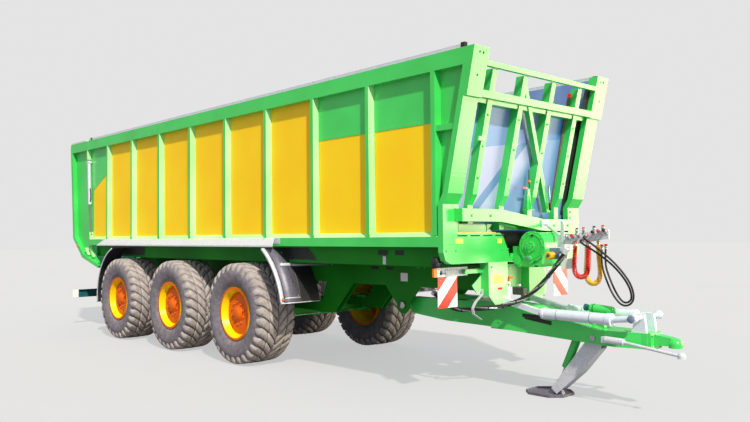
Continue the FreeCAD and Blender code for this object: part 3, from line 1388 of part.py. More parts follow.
def drawbar_rams():
    """Two suspension rams beside the drawbar's top, from links on the legs to pins on its nose."""
    y = DRAWBAR_RAM_Y
    r = DRAWBAR_RAM_RADIUS
    x0, z0 = DRAWBAR_RAM_BACK
    x1, z1 = DRAWBAR_RAM_FRONT
    px, pz = DRAWBAR_RAM_PIN
    barrel = rod((x0, y, z0), (x1, y, z1), r)
    collar = rod((x1 - 50, y, z1), (x1, y, z1), r + 7)
    band = rod((x0 + 12, y, z0), (x0 + 34, y, z0), r + 5)
    piston = rod((x1 - 30, y, z1), (px, y, pz), 32)
    eye = rod_y(px, pz, y - 30, y + 30, 42)
    pin = rod_y(px, pz, DRAWBAR_NOSE_HALF - 40, y + 40, 24)
    foot_profile = [
        (px - 95, DRAWBAR_FLAT[1] + SEAT_GAP),
        (px + 60, DRAWBAR_FLAT[1] + SEAT_GAP),
        (px + 42, pz + 30),
        (px - 42, pz + 30),
    ]
    foot = prism_xz(foot_profile, DRAWBAR_NOSE_HALF - 42, DRAWBAR_NOSE_HALF - 12)
    leg_x = POST_FOOT_X + SEAT_GAP
    link_profile = [
        (leg_x, LEG_BOTTOM_Z + 70),
        (leg_x, LEG_BOTTOM_Z + 8),
        (x0 - 30, z0 - 20),
        (x0 + 5, z0 - 20),
        (x0 + 5, z0 + 38),
        (x0 - 60, z0 + 42),
    ]
    link = prism_xz(link_profile, y - 27, y + 27)
    ram = fuse([barrel, collar, band, piston, eye, pin, foot, link])
    return Part.makeCompound(both_sides(ram))


def accumulators():
    """Gas accumulator bottle with its valve over the drawbar's slope, on two feet."""
    back = V(6350.0, 0.0, 943.0)
    front = V(6575.0, 0.0, 928.0)
    r = 46.0
    body = Part.makeCylinder(r, (front - back).Length, back, front - back)
    neck = rod((6318.0, 0.0, 945.0), (6352.0, 0.0, 943.0), 30)
    knob = rod((6280.0, 0.0, 948.0), (6306.0, 0.0, 946.0), 36)
    stem = rod((6300.0, 0.0, 947.0), (6325.0, 0.0, 945.0), 16)
    slope = (DRAWBAR_HUMP[1] - DRAWBAR_FLAT[1]) / (DRAWBAR_FLAT[0] - DRAWBAR_HUMP[0])
    feet = []
    for x in (6385.0, 6500.0):
        low = DRAWBAR_HUMP[1] - slope * (x - 12 - DRAWBAR_HUMP[0]) + SEAT_GAP
        feet.append(box(x - 12, x + 12, -30, 30, low, 920.0))
    return fuse([body, Part.makeSphere(r, front), neck, stem, knob] + feet)


def ball_cup(x, y, z, radius, wall, skirt):
    """Domed cup over a ball centred at z, with a straight skirt open at its bottom."""
    outer = Part.makeSphere(radius + wall, V(x, y, z))
    outer = outer.fuse(Part.makeCylinder(radius + wall, skirt, V(x, y, z - skirt)))
    below = Part.makeBox(400, 400, 400, V(x - 200, y - 200, z - skirt - 400))
    outer = outer.cut(below)
    inner = Part.makeSphere(radius, V(x, y, z)).fuse(Part.makeCylinder(radius, skirt + 1, V(x, y, z - skirt - 1)))
    return outer, inner


def coupling_spoon():
    """Bolted coupling head with a cup for the tow ball, open below."""
    x0 = DRAWBAR_NOSE_X + SEAT_GAP
    plate = box(x0, x0 + 32, -112, 112, 594, 756)
    neck = prism_xz([(x0 + 31, 640), (x0 + 31, 742), (COUPLING_X - 20, 716), (COUPLING_X - 20, 640)], -50, 50)
    outer, inner = ball_cup(COUPLING_X, 0, COUPLING_Z, COUPLING_CUP_RADIUS, 24, COUPLING_SKIRT)
    return fuse([plate, neck, outer]).cut(inner)


def steering_rod():
    """Sensing ram of the forced steering beside the drawbar, with its ball cup at the front."""
    y = STEER_ROD_Y
    back_z = 672.0
    barrel = rod((6640.0, y, back_z), (6830.0, y, back_z - 8), 34)
    shaft = rod((6800.0, y, back_z - 6), (STEER_CUP_X - 30, y, STEER_CUP_Z + 4), 15)
    outer, inner = ball_cup(STEER_CUP_X, y, STEER_CUP_Z, STEER_CUP_RADIUS, STEER_CUP_WALL, STEER_CUP_SKIRT)
    bracket = box(6600.0, 6650.0, y - 20, -DRAWBAR_HALF_WIDTH - SEAT_GAP, 640.0, 700.0)
    return fuse([barrel, shaft, outer, bracket]).cut(inner)


# ----------------------------------------------------------------------- stand
def stand_leg():
    px, pz = STAND_PIVOT
    fx, fz = STAND_FOOT_PIN
    half = STAND_WIDTH / 2
    t = STAND_PLATE
    length = math.hypot(px - fx, pz - fz)
    ux, uz = (px - fx) / length, (pz - fz) / length
    nx, nz = uz, -ux

    def at(along, across):
        return (fx + ux * along + nx * across, fz + uz * along + nz * across)

    outline = [at(-35, -42), at(-35, 42), at(length * 0.45, 92), at(length - 90, 88), at(length, 60)]
    outline += [at(length, -60), at(length - 120, -78), at(length * 0.4, -62)]
    plates = []
    for s in (-1, 1):
        ys = sorted((s * (half - t), s * half))
        plates.append(prism_xz(outline, ys[0], ys[1]))
        plates.append(rod_y(px, pz, ys[0], ys[1], 62))
    web_outline = [at(60, 34), at(length * 0.45, 82), at(length - 90, 78), at(length - 90, 88), at(length * 0.45, 92)]
    web_outline.append(at(40, 44))
    web = prism_xz(web_outline, -half + 1, half - 1)
    ex, ez = STAND_RAM_EYE
    bosses = []
    for s in (-1, 1):
        ys = sorted((s * (STAND_EYE_HALF + SEAT_GAP), s * (half - 1)))
        bosses.append(rod_y(ex, ez, ys[0], ys[1], 22))
    foot_pin = rod_y(fx, fz, -half, half, 20)
    whole = fuse(plates + bosses + [web, foot_pin])
    return whole.cut(rod_y(px, pz, -half - 1, half + 1, 28 + PIN_CLEARANCE))


def stand_foot():
    fx, fz = STAND_FOOT_PIN
    cx = STAND_FOOT_CENTRE_X
    hl = STAND_FOOT_LENGTH / 2
    hw = STAND_FOOT_WIDTH / 2
    c = 110.0

    def octagon(shrink):
        a = hl - shrink
        b = hw - shrink
        return [
            (cx - a, -b + c),
            (cx - a + c, -b),
            (cx + a - c, -b),
            (cx + a, -b + c),
            (cx + a, b - c),
            (cx + a - c, b),
            (cx - a + c, b),
            (cx - a, b - c),
        ]

    plate = prism_xy(octagon(0), 0, 26).cut(prism_xy(octagon(12), 12, 27))
    lug = prism_xz([(fx - 60, 11), (fx + 60, 11), (fx + 24, fz + 24), (fx - 24, fz + 24)], -26, 26)
    lug = lug.cut(rod_y(fx, fz, -30, 30, 20 + PIN_CLEARANCE))
    return fuse([plate, lug])


def stand_ram_direction():
    tx, tz = STAND_RAM_TOP
    ex, ez = STAND_RAM_EYE
    length = math.hypot(ex - tx, ez - tz)
    return (ex - tx) / length, (ez - tz) / length, length


def stand_barrel():
    tx, tz = STAND_RAM_TOP
    dx, dz, _ = stand_ram_direction()

    def at(distance):
        return (tx + dx * distance, 0.0, tz + dz * distance)

    body = rod(at(15), at(STAND_BARREL_LENGTH), STAND_BARREL_RADIUS)
    eye = rod_y(tx, tz, -34, 34, 40)
    bore = rod(at(60), at(STAND_BARREL_LENGTH - 40), STAND_BARREL_BORE)
    throat = rod(at(STAND_BARREL_LENGTH - 60), at(STAND_BARREL_LENGTH + 1), STAND_ROD_RADIUS + PIN_CLEARANCE)
    return fuse([body, eye]).cut(bore).cut(throat).cut(rod_y(tx, tz, -50, 50, 22 + PIN_CLEARANCE))


def stand_rod():
    tx, tz = STAND_RAM_TOP
    ex, ez = STAND_RAM_EYE
    dx, dz, length = stand_ram_direction()

    def at(distance):
        return (tx + dx * distance, 0.0, tz + dz * distance)

    shank = rod(at(STAND_BARREL_LENGTH - 200), at(length), STAND_ROD_RADIUS)
    piston = rod(at(STAND_BARREL_LENGTH - 210), at(STAND_BARREL_LENGTH - 165), STAND_BARREL_BORE - PIN_CLEARANCE)
    eye = rod_y(ex, ez, -STAND_EYE_HALF, STAND_EYE_HALF, 34)
    return fuse([shank, piston, eye])


# ------------------------------------------------------- fenders, lights, signs
def arc_sheet(axle_x, radius, angle0, angle1, y0, y1, thickness):
    """Curved sheet round an axle; angles from the +X direction upwards, in degrees."""
    centre = V(axle_x, y0, WHEEL_RADIUS)

    def point(r, a):
        t = math.radians(a)
        return centre + V(r * math.cos(t), 0, r * math.sin(t))

    mid = (angle0 + angle1) / 2
    outer = Part.Arc(point(radius, angle0), point(radius, mid), point(radius, angle1)).toShape()
    r2 = radius - thickness
    inner = Part.Arc(point(r2, angle1), point(r2, mid), point(r2, angle0)).toShape()
    side_a = Part.LineSegment(point(radius, angle1), point(r2, angle1)).toShape()
    side_b = Part.LineSegment(point(r2, angle0), point(radius, angle0)).toShape()
    face = Part.Face(Part.Wire([outer, side_a, inner, side_b]))
    return face.extrude(V(0, y1 - y0, 0))


def fender(axle_x, radius, outer_arc, inner_arc, carrier_z, hand):
    """Two-part wheel cover: wide outer strip and inner splash sheet, on a round carrier."""
    y0, y1 = FENDER_HALF_Y
    split = SIDE_MEMBER_OUTER_Y + 5
    outer = arc_sheet(axle_x, radius, outer_arc[0], outer_arc[1], split, y1, FENDER_THICKNESS)
    inner = arc_sheet(axle_x, radius, inner_arc[0], inner_arc[1], y0, split, FENDER_THICKNESS)
    rise = carrier_z - WHEEL_RADIUS
    x = axle_x + hand * (math.sqrt(radius ** 2 - rise ** 2) + 12)
    arm = rod((x, RAIL_OUTER_Y + SEAT_GAP, carrier_z), (x, y1 - 120, carrier_z), 24)
    return fuse([outer, inner, arm])


def fender_set():
    front = fender(AXLE_X["front"], FRONT_FENDER_RADIUS, (10, 54), (10, 38), 1345.0, 1)
    rear = fender(AXLE_X["rear"], REAR_FENDER_RADIUS, (108, 187), (131, 187), 1150.0, -1)
    return [front, rear]


def fenders():
    shapes = fender_set()
    return Part.makeCompound(shapes + [mirrored(s) for s in shapes])


def rear_light_bar():
    z0, z1 = LIGHT_BAR_Z
    x = LIGHT_BAR_X
    w = 6.0
    outer = box(x - 30, x + 20 - SEAT_GAP, -LIGHT_BAR_HALF, LIGHT_BAR_HALF, z0, z1)
    inner = box(x - 30 + w, x + 21, -LIGHT_BAR_HALF + w, LIGHT_BAR_HALF - w, z0 + w, z1 - w)
    plates = []
    for s in (-1, 1):
        ys = sorted((s * (RAIL_OUTER_Y - 60), s * (RAIL_OUTER_Y + 20)))
        plates.append(box(x + 12, x + 20 - SEAT_GAP, ys[0], ys[1], z0 + 2, z1 - 2))
    return fuse([outer.cut(inner)] + plates)


def tail_lamps():
    lamps = []
    z0, z1 = LIGHT_BAR_Z
    x = LIGHT_BAR_X - 30
    for s in (-1, 1):
        ys = sorted((s * (LIGHT_BAR_HALF - 420), s * (LIGHT_BAR_HALF - 60)))
        lamps.append(box(x - 28, x, ys[0], ys[1], z0 + 22, z1 - 22))
    return Part.makeCompound(lamps)


def warning_boards():
    """Striped front boards under their bracket plates, each on an arm from the leg."""
    x = POST_FOOT_X - LEG_DEPTH - 20
    z = 1277.0
    plate = box(x, x + 14, 730.0, 1215.0, z, z + 93)
    plate = plate.cut(rod((x - 1, 1145.0, z + 38), (x + 15, 1145.0, z + 38), 24))
    board = box(x, x + 6, 890.0, 1190.0, z - 322, z + 1)
    arm = box(x + 12, x + 60, LEG_OUTER_Y + SEAT_GAP, 820.0, z + 20, z + 68)
    return Part.makeCompound(both_sides(fuse([plate, board, arm])))


def front_lamps():
    """Marker lamps at the outer ends of the bracket plates, each with its round housing above."""
    x = POST_FOOT_X - LEG_DEPTH - 20
    z = 1277.0
    marker = box(x - 4, x + 22, 1215.0 + SEAT_GAP, 1262.0, z, z + 86)
    housing = rod((x - 30, 1196.0, z + 150), (x + 30, 1196.0, z + 150), 56)
    stem = box(x + 1, x + 13, 1180.0, 1212.0, z + 93 + SEAT_GAP, z + 120)
    return Part.makeCompound(both_sides(marker) + both_sides(fuse([housing, stem])))


def bent_strip(points, thickness, x0, x1):
    """Sheet strip x0..x1 wide that follows a run of (y, z) points on its left-hand side."""
    normals = []
    for (ya, za), (yb, zb) in zip(points, points[1:]):
        length = math.hypot(yb - ya, zb - za)
        normals.append((-(zb - za) / length, (yb - ya) / length))
    offset = []
    for i, (y, z) in enumerate(points):
        n0 = normals[max(i - 1, 0)]
        n1 = normals[min(i, len(normals) - 1)]
        scale = thickness / (1 + n0[0] * n1[0] + n0[1] * n1[1])
        offset.append((y + (n0[0] + n1[0]) * scale, z + (n0[1] + n1[1]) * scale))
    return prism_yz(points + offset[::-1], x0, x1)


# ----------------------------------------------------------------------- hoses
def cord_wire(name, points):
    """Straight runs joined by tangent arcs, each as large as its two runs allow."""
    corners = [V(*p) for p in points]
    edges = []
    radii = []
    start = corners[0]
    for before, corner, after in zip(corners, corners[1:], corners[2:]):
        into = corner - before
        out = after - corner
        half_turn = into.getAngle(out) / 2
        reach = CORD_ARC_SHARE * min(into.Length, out.Length)
        radius = reach / math.tan(half_turn)
        into.normalize()
        out.normalize()
        inward = out - into
        inward.normalize()
        arc_start = corner - into * reach
        arc_middle = corner + inward * (radius / math.cos(half_turn) - radius)
        arc_end = corner + out * reach
        edges.append(Part.LineSegment(start, arc_start).toShape())
        edges.append(Part.Arc(arc_start, arc_middle, arc_end).toShape())
        start = arc_end
        radii.append(round(radius))
    edges.append(Part.LineSegment(start, corners[-1]).toShape())
    wire = Part.Wire(edges)
    print(name, "length", round(wire.Length), "arc radii", radii)
    return wire


def cord(name, points, diameter):
    wire = cord_wire(name, points)
    start = V(*points[0])
    section = Part.Circle(start, V(*points[1]) - start, diameter / 2)
    tube_shape = wire.makePipeShell([Part.Wire([section.toShape()])], True, False)
    share = tube_shape.Volume / (math.pi * diameter ** 2 / 4 * wire.Length)
    print(name, "volume over section times length", round(share, 4))
    return tube_shape


def sleeve(points, length, radius):
    """Cylinder that continues a cord beyond the first of its points."""
    end = V(*points[0])
    away = end - V(*points[1])
    return Part.makeCylinder(radius, length, end, away)


def couplers():
    """Quick couplers and hose ends on both faces of the holder's bar."""
    routes = PRESSURE_HOSE_ROUTES + [AIR_HOSE_RED_ROUTE, AIR_HOSE_YELLOW_ROUTE]
    shapes = []
    for route in routes:
        for points in (route, route[::-1]):
            shapes.append(sleeve(points, COUPLER_LENGTH, COUPLER_RADIUS))
    return Part.makeCompound(shapes)


def hose_holder():
    """Arm from the front beam with the coupler bar, the bundle's two clamps and its hook."""
    y0, y1 = HOLDER_BAR_Y
    bar = prism_xz([(5985, 1564), (6590, 1655), (6590, 1743), (5985, 1690)], y0, y1)
    beam_face = POST_FOOT_X + FRONT_BEAM_DEPTH + SEAT_GAP
    foot = box(beam_face, beam_face + 14, 290, 430, 1778, 1862)
    arm = rod((beam_face + 11.5, 360, 1822), (6050, (y0 + y1) / 2 + 4, 1660), 17)
    collar = sleeve(HOSE_BUNDLE_ROUTE[::-1], 60, HOSE_BUNDLE_DIAMETER / 2 + 6)
    hanger_strap = box(6120, 6172, -190, y0 + 1, 1530, 1600)
    rest = box(6120, 6172, y0 - 8, y0 + 1, 1530, 1640)
    holder = fuse([bar, foot, arm, collar, hanger_strap, rest])
    clamp = sleeve(HOSE_BUNDLE_ROUTE, 40, HOSE_BUNDLE_DIAMETER / 2 + 6)
    start_x, start_y, start_z = HOSE_BUNDLE_ROUTE[0]
    hanger_plate = box(start_x - 36, start_x - 6, start_y - 6, -RAIL_OUTER_Y + 60, RAIL_BOTTOM_Z - 8 - SEAT_GAP, RAIL_BOTTOM_Z - SEAT_GAP)
    drop = box(start_x - 36, start_x - 6, start_y - 6, start_y + 6, start_z, RAIL_BOTTOM_Z - SEAT_GAP)
    rail_clamp = fuse([clamp, hanger_plate, drop])
    y = -LEG_OUTER_Y - SEAT_GAP
    hook_points = [(y, 1120), (y, 1062), (y - 117, 985), (y - 162, 920), (y - 147, 865), (y - 27, 800)]
    hook = bent_strip(hook_points, -6.0, POST_FOOT_X - LEG_DEPTH + 11, POST_FOOT_X - LEG_DEPTH + 43)
    return Part.makeCompound([holder, rail_clamp, hook])


def line_filter():
    """Filter bowl of the brake line beside the leg, with its head and solenoid."""
    y = -LEG_INNER_Y - 60 + 26 + SEAT_GAP
    x = POST_FOOT_X - 20
    bowl = rod((x, y, 985.0), (x, y, 1150.0), 26)
    head = rod((x, y, 1148.0), (x, y, 1178.0), 32 - 6)
    neck = rod((x, y, 1176.0), (x, y, 1196.0), 12)
    cap = rod((x, y, 1194.0), (x, y, 1222.0), 22)
    solenoid = box(x + 4, x + 54, y + 10, y + 70, 1060.0, 1130.0)
    return fuse([bowl, head, neck, cap, solenoid])


def build():
    parts = {}
    for row, axle_x in AXLE_X.items():
        for name, side in (("right", -1), ("left", 1)):
            parts["tyre_%s_%s" % (row, name)] = tyre(axle_x, side)
            parts["rim_%s_%s" % (row, name)] = rim(axle_x, side)
    for row in ("front", "rear"):
        for name, side in (("right", -1), ("left", 1)):
            parts["knuckle_%s_%s" % (row, name)] = knuckle(AXLE_X[row], side)
        parts["tie_rod_%s" % row] = tie_rod(AXLE_X[row])
    beams = [axle(axle_x, row != "middle") for row, axle_x in AXLE_X.items()]
    parts["axles"] = Part.makeCompound(beams)
    parts["suspension_rams"] = suspension_rams()
    parts["chassis_frame"] = chassis_frame()
    parts["floor_frame"] = floor_frame()
    parts["floor_deck"] = floor_deck()
    parts["floor_belt"] = floor_belt()
    parts["belt_drums"] = belt_drums()
    parts["side_frames"] = Part.makeCompound(both_sides(side_frame()))
    parts["side_panels"] = Part.makeCompound(both_sides(side_panel()))
    parts["top_rails"] = Part.makeCompound(both_sides(top_rail()))
    parts["spray_deflectors"] = Part.makeCompound(both_sides(spray_deflector()))
    parts["headboard_frame"] = headboard_frame()
    parts["front_console"] = front_console()
    parts["winch_gearbox"] = winch_gearbox()
    parts["push_wall_frame"] = push_wall_frame()
    parts["push_wall_window"] = push_wall_window()
    parts["tailgate"] = tailgate()
    for name, side in (("left", 1), ("right", -1)):
        barrel = gate_barrel()
        piston = gate_rod()
        parts["gate_barrel_%s" % name] = barrel if side > 0 else mirrored(barrel)
        parts["gate_rod_%s" % name] = piston if side > 0 else mirrored(piston)
    parts["drawbar"] = drawbar()
    parts["drawbar_rams"] = drawbar_rams()
    parts["accumulators"] = accumulators()
    parts["coupling_spoon"] = coupling_spoon()
    parts["steering_rod"] = steering_rod()
    parts["stand_leg"] = stand_leg()
    parts["stand_foot"] = stand_foot()
    parts["stand_barrel"] = stand_barrel()
    parts["stand_rod"] = stand_rod()
    parts["fenders"] = fenders()
    parts["rear_light_bar"] = rear_light_bar()
    parts["tail_lamps"] = tail_lamps()
    parts["warning_boards"] = warning_boards()
    parts["front_lamps"] = front_lamps()
    parts["hose_holder"] = hose_holder()
    parts["couplers"] = couplers()
    parts["line_filter"] = line_filter()
    parts["hose_bundle"] = cord("hose_bundle", HOSE_BUNDLE_ROUTE, HOSE_BUNDLE_DIAMETER)
    hoses = [cord("pressure_hose", route, PRESSURE_HOSE_DIAMETER) for route in PRESSURE_HOSE_ROUTES]
    parts["pressure_hoses"] = Part.makeCompound(hoses)
    parts["air_hose_red"] = cord("air_hose_red", AIR_HOSE_RED_ROUTE, AIR_COIL_DIAMETER)
    parts["air_hose_yellow"] = cord("air_hose_yellow", AIR_HOSE_YELLOW_ROUTE, AIR_COIL_DIAMETER)
    return parts


def main():
    os.makedirs("parts", exist_ok=True)
    parts = build()
    for name, shape in parts.items():
        export(name, shape)
    print(len(parts), "nodes")


if __name__ == "__main__":
    main()
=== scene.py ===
"""Looks of the three-axle silage trailer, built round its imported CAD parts."""

import math

import bmesh
import bpy
from mathutils import Matrix, Vector


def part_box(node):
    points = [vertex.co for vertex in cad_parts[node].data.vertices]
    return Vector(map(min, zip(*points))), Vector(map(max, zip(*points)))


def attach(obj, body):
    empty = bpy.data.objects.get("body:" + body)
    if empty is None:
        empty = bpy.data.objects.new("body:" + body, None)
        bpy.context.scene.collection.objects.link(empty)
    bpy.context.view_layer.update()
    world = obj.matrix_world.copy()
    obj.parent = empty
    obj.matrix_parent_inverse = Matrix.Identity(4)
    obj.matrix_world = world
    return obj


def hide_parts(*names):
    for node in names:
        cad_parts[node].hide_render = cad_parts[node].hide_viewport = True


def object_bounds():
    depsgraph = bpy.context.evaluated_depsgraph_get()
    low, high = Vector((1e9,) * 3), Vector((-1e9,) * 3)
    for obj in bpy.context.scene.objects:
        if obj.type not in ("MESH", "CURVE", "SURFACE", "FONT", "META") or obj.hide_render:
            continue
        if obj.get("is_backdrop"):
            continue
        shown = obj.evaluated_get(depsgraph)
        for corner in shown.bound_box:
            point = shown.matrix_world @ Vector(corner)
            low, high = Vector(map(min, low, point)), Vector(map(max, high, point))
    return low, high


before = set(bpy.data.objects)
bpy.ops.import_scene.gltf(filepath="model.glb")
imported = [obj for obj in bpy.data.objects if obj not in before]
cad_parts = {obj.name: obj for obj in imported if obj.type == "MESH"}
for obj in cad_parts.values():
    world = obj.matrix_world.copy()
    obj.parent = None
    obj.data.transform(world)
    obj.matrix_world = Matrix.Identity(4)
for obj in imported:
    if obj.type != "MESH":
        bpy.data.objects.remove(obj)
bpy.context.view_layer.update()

# --- places on the CAD nodes, in metres ---------------------------------------------------

MIDDLE_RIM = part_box("rim_middle_right")
AXLE_X = (MIDDLE_RIM[0].x + MIDDLE_RIM[1].x) / 2
AXLE_Z = (MIDDLE_RIM[0].z + MIDDLE_RIM[1].z) / 2
AXLE_PITCH = 1.830
RAIL_FACE_Y = 0.4805
MEMBER_FACE_Y = 1.0903
DRAWBAR_FACE_Y = 0.1853

WHEELS = [
    (place, side)
    for place in ("front", "middle", "rear")
    for side in ("right", "left")
]


# --- small helpers ------------------------------------------------------------------------

def linear(colour):
    """RGBA in linear light from a hex colour."""
    values = [int(colour[i : i + 2], 16) / 255 for i in (1, 3, 5)]
    return [v / 12.92 if v <= 0.04045 else ((v + 0.055) / 1.055) ** 2.4 for v in values] + [1.0]


def start(name):
    """A new material, its node tree and its Principled shader."""
    material = bpy.data.materials.new(name)
    material.use_nodes = True
    tree = material.node_tree
    return material, tree, tree.nodes["Principled BSDF"]


def add(tree, kind, settings=None, inputs=None, links=None, stops=()):
    """A node with its settings, socket values, incoming links and, on a ramp, (place, hex) stops."""
    node = tree.nodes.new(kind)
    for key, value in (settings or {}).items():
        setattr(node, key, value)
    for key, value in (inputs or {}).items():
        node.inputs[key].default_value = value
    for key, socket in (links or {}).items():
        tree.links.new(socket, node.inputs[key])
    if stops:
        elements = node.color_ramp.elements
        while len(elements) < len(stops):
            elements.new(0.5)
        for element, (place, colour) in zip(elements, stops):
            element.position = place
            element.color = linear(colour)
    return node


# --- finishes -----------------------------------------------------------------------------

BLOTCHES = "ShaderNodeTexNoise"
CELLS = "ShaderNodeTexVoronoi"


def surface(name, pattern, stops, values, relief=None):
    """A material whose colour follows a pattern fixed to the piece, with plain values for its shine.

    pattern is (texture, its output, size in mm, its other sockets), and stops are its colours.
    relief, where the finish has one, is (texture, output, size in mm, sockets, depth in mm, strength).
    """
    material, tree, shader = start(name)
    point = add(tree, "ShaderNodeTexCoord").outputs["Object"]
    texture, output, size, sockets = pattern
    drawn = add(tree, texture, inputs={"Scale": 1000 / size, **sockets}, links={"Vector": point})
    colour = add(tree, "ShaderNodeValToRGB", links={"Fac": drawn.outputs[output]}, stops=stops)
    tree.links.new(colour.outputs["Color"], shader.inputs["Base Color"])
    for socket, value in values.items():
        shader.inputs[socket].default_value = value
    if relief:
        texture, output, size, sockets, depth, strength = relief
        grain = add(tree, texture, inputs={"Scale": 1000 / size, **sockets}, links={"Vector": point})
        bumps = add(
            tree,
            "ShaderNodeBump",
            inputs={"Distance": depth / 1000, "Strength": strength},
            links={"Height": grain.outputs[output]},
        )
        tree.links.new(bumps.outputs["Normal"], shader.inputs["Normal"])
    return material


def enamel(name, shade, lit, roughness=0.34, coat=0.0):
    """Powder-coated steel: even colour, broad soft shine and a faint orange peel.

    Real orange peel is 2 to 5 mm across. It is drawn at 14 mm, so that it still shows on a whole trailer.
    """
    values = {
        "Roughness": roughness,
        "Specular IOR Level": 0.3,
        "Coat Weight": coat,
        "Coat Roughness": 0.22,
        "Coat IOR": 1.6,
    }
    peel = (BLOTCHES, "Fac", 14, {}, 0.15, 0.5)
    return surface(name, (BLOTCHES, "Fac", 650, {}), [(0.35, shade), (0.65, lit)], values, peel)


def galvanised_sheet(name, dull, bright):
    """Hot-dip galvanised steel: pale lavender-grey with a faint spangle about 20 mm across."""
    spangle = (CELLS, "Color", 20, {})
    return surface(name, spangle, [(0.1, dull), (0.9, bright)], {"Metallic": 0.25, "Roughness": 0.45})


def tyre_rubber(name, dark, dusty):
    """Vulcanised rubber with field dust: matt, with hand-sized blotches of dust and a 6 mm grain."""
    dust = (BLOTCHES, "Fac", 70, {"Detail": 6.0, "Roughness": 0.6})
    grain = (BLOTCHES, "Fac", 6, {"Detail": 4.0}, 0.8, 0.6)
    return surface(name, dust, [(0.35, dark), (0.7, dusty)], {"Roughness": 0.82}, grain)


def moulded(name, size, dark, light, roughness, grain=None):
    """Moulded, extruded or painted skin: one even colour with faint blotches, dull to waxy shine."""
    return surface(
        name, (BLOTCHES, "Fac", size, {}), [(0.3, dark), (0.7, light)], {"Roughness": roughness}, grain
    )


def plated(name, size, dark, light, metallic, roughness):
    """Polished or plated steel rod and fittings: a metal shine with faint rings from grinding."""
    values = {"Metallic": metallic, "Roughness": roughness}
    return surface(name, (BLOTCHES, "Fac", size, {}), [(0.3, dark), (0.7, light)], values)


def lamp_lens(name, dark, light):
    """Moulded acrylic lens over a faceted reflector: 12 mm facets with painted highlights in their middles.
    """
    facets = (CELLS, "Distance", 12, {})
    return surface(name, facets, [(0.1, light), (0.6, dark)], {"Roughness": 0.15})


def braided_sleeve():
    """Stainless braid over a hose: bright wires that cross in a fine diamond pattern.

    Real wires are 0.3 mm thick. They are drawn as 5 mm diamonds, which is as fine as shows.
    """
    wires = (CELLS, "Distance", 5, {})
    values = {"Metallic": 0.8, "Roughness": 0.35}
    return surface(
        "stainless_braid", wires, [(0.1, "#6f7178"), (0.6, "#c9ccd4")], values, (*wires, 0.4, 0.6)
    )


LAP_SLOPE = 0.139
LAP_HEIGHT = 2.723
SHADE_BAND_SLOPE = 1.108
SHADE_BAND_START = 2.0


def tinted_sheet_painted_shade():
    """Blue-tinted polycarbonate: a paler lower sheet under the upper one's lap, with slanting bands.

    The darker slanting bands are painted shade set into the colour; they are wide and soft on one side.
    """
    material, tree, shader = start("tinted_polycarbonate_painted_shade")
    place = add(tree, "ShaderNodeTexCoord").outputs["Object"]
    point = add(tree, "ShaderNodeSeparateXYZ", links={"Vector": place})
    y, z = point.outputs["Y"], point.outputs["Z"]
    lap = add(tree, "ShaderNodeMath", {"operation": "MULTIPLY"}, {1: LAP_SLOPE}, {0: y})
    height = add(tree, "ShaderNodeMath", {"operation": "SUBTRACT"}, links={0: z, 1: lap.outputs[0]})
    upper = add(
        tree, "ShaderNodeMath", {"operation": "GREATER_THAN"}, {1: LAP_HEIGHT}, {0: height.outputs[0]}
    )
    # Painted shade: the darker slanting bands across the lower sheet.
    slant = add(tree, "ShaderNodeMath", {"operation": "MULTIPLY"}, {1: SHADE_BAND_SLOPE}, {0: y})
    across = add(tree, "ShaderNodeMath", {"operation": "SUBTRACT"}, links={0: z, 1: slant.outputs[0]})
    band = add(tree, "ShaderNodeMath", {"operation": "SUBTRACT"}, {1: SHADE_BAND_START}, {0: across.outputs[0]})
    lower_stops = [
        (0.22, "#6f97cf"),
        (0.38, "#a9b9e6"),
        (0.61, "#b2bee8"),
        (0.63, "#6b8fc6"),
        (0.77, "#7396cd"),
        (0.79, "#b6bde9"),
    ]
    lower = add(tree, "ShaderNodeValToRGB", links={"Fac": band.outputs[0]}, stops=lower_stops)
    along = add(tree, "ShaderNodeMath", {"operation": "MULTIPLY_ADD"}, {1: 0.5, 2: 0.5}, {0: y})
    upper_stops = [(0.1, "#7ba6de"), (0.5, "#8c9edb"), (0.70, "#86a0d9"), (0.76, "#437fc6")]
    top = add(tree, "ShaderNodeValToRGB", links={"Fac": along.outputs[0]}, stops=upper_stops)
    colour = add(
        tree,
        "ShaderNodeMix",
        {"data_type": "RGBA"},
        links={0: upper.outputs[0], 6: lower.outputs["Color"], 7: top.outputs["Color"]},
    )
    tree.links.new(colour.outputs[2], shader.inputs["Base Color"])
    shader.inputs["Roughness"].default_value = 0.32
    shader.inputs["Specular IOR Level"].default_value = 0.25
    shader.inputs["Alpha"].default_value = 0.95
    return material


STRIPE_WIDTH = 0.16
STRIPE_START = 2.0


def warning_stripes():
    """Reflective sheet with red and white stripes at 45 degrees that rise towards the middle."""
    material, tree, shader = start("reflective_stripes")
    place = add(tree, "ShaderNodeTexCoord").outputs["Object"]
    point = add(tree, "ShaderNodeSeparateXYZ", links={"Vector": place})
    side = add(tree, "ShaderNodeMath", {"operation": "ABSOLUTE"}, links={0: point.outputs["Y"]})
    across = add(
        tree, "ShaderNodeMath", {"operation": "ADD"}, links={0: side.outputs[0], 1: point.outputs["Z"]}
    )
    shifted = add(
        tree, "ShaderNodeMath", {"operation": "SUBTRACT"}, {1: STRIPE_START}, {0: across.outputs[0]}
    )
    phase = add(
        tree, "ShaderNodeMath", {"operation": "WRAP"}, {1: 2 * STRIPE_WIDTH, 2: 0.0}, {0: shifted.outputs[0]}
    )
    red = add(tree, "ShaderNodeMath", {"operation": "LESS_THAN"}, {1: STRIPE_WIDTH}, {0: phase.outputs[0]})
    stops = [(0.0, "#f7f1f0"), (1.0, "#ee2415")]
    colour = add(tree, "ShaderNodeValToRGB", links={"Fac": red.outputs[0]}, stops=stops)
    tree.links.new(colour.outputs["Color"], shader.inputs["Base Color"])
    shader.inputs["Roughness"].default_value = 0.3
    return material
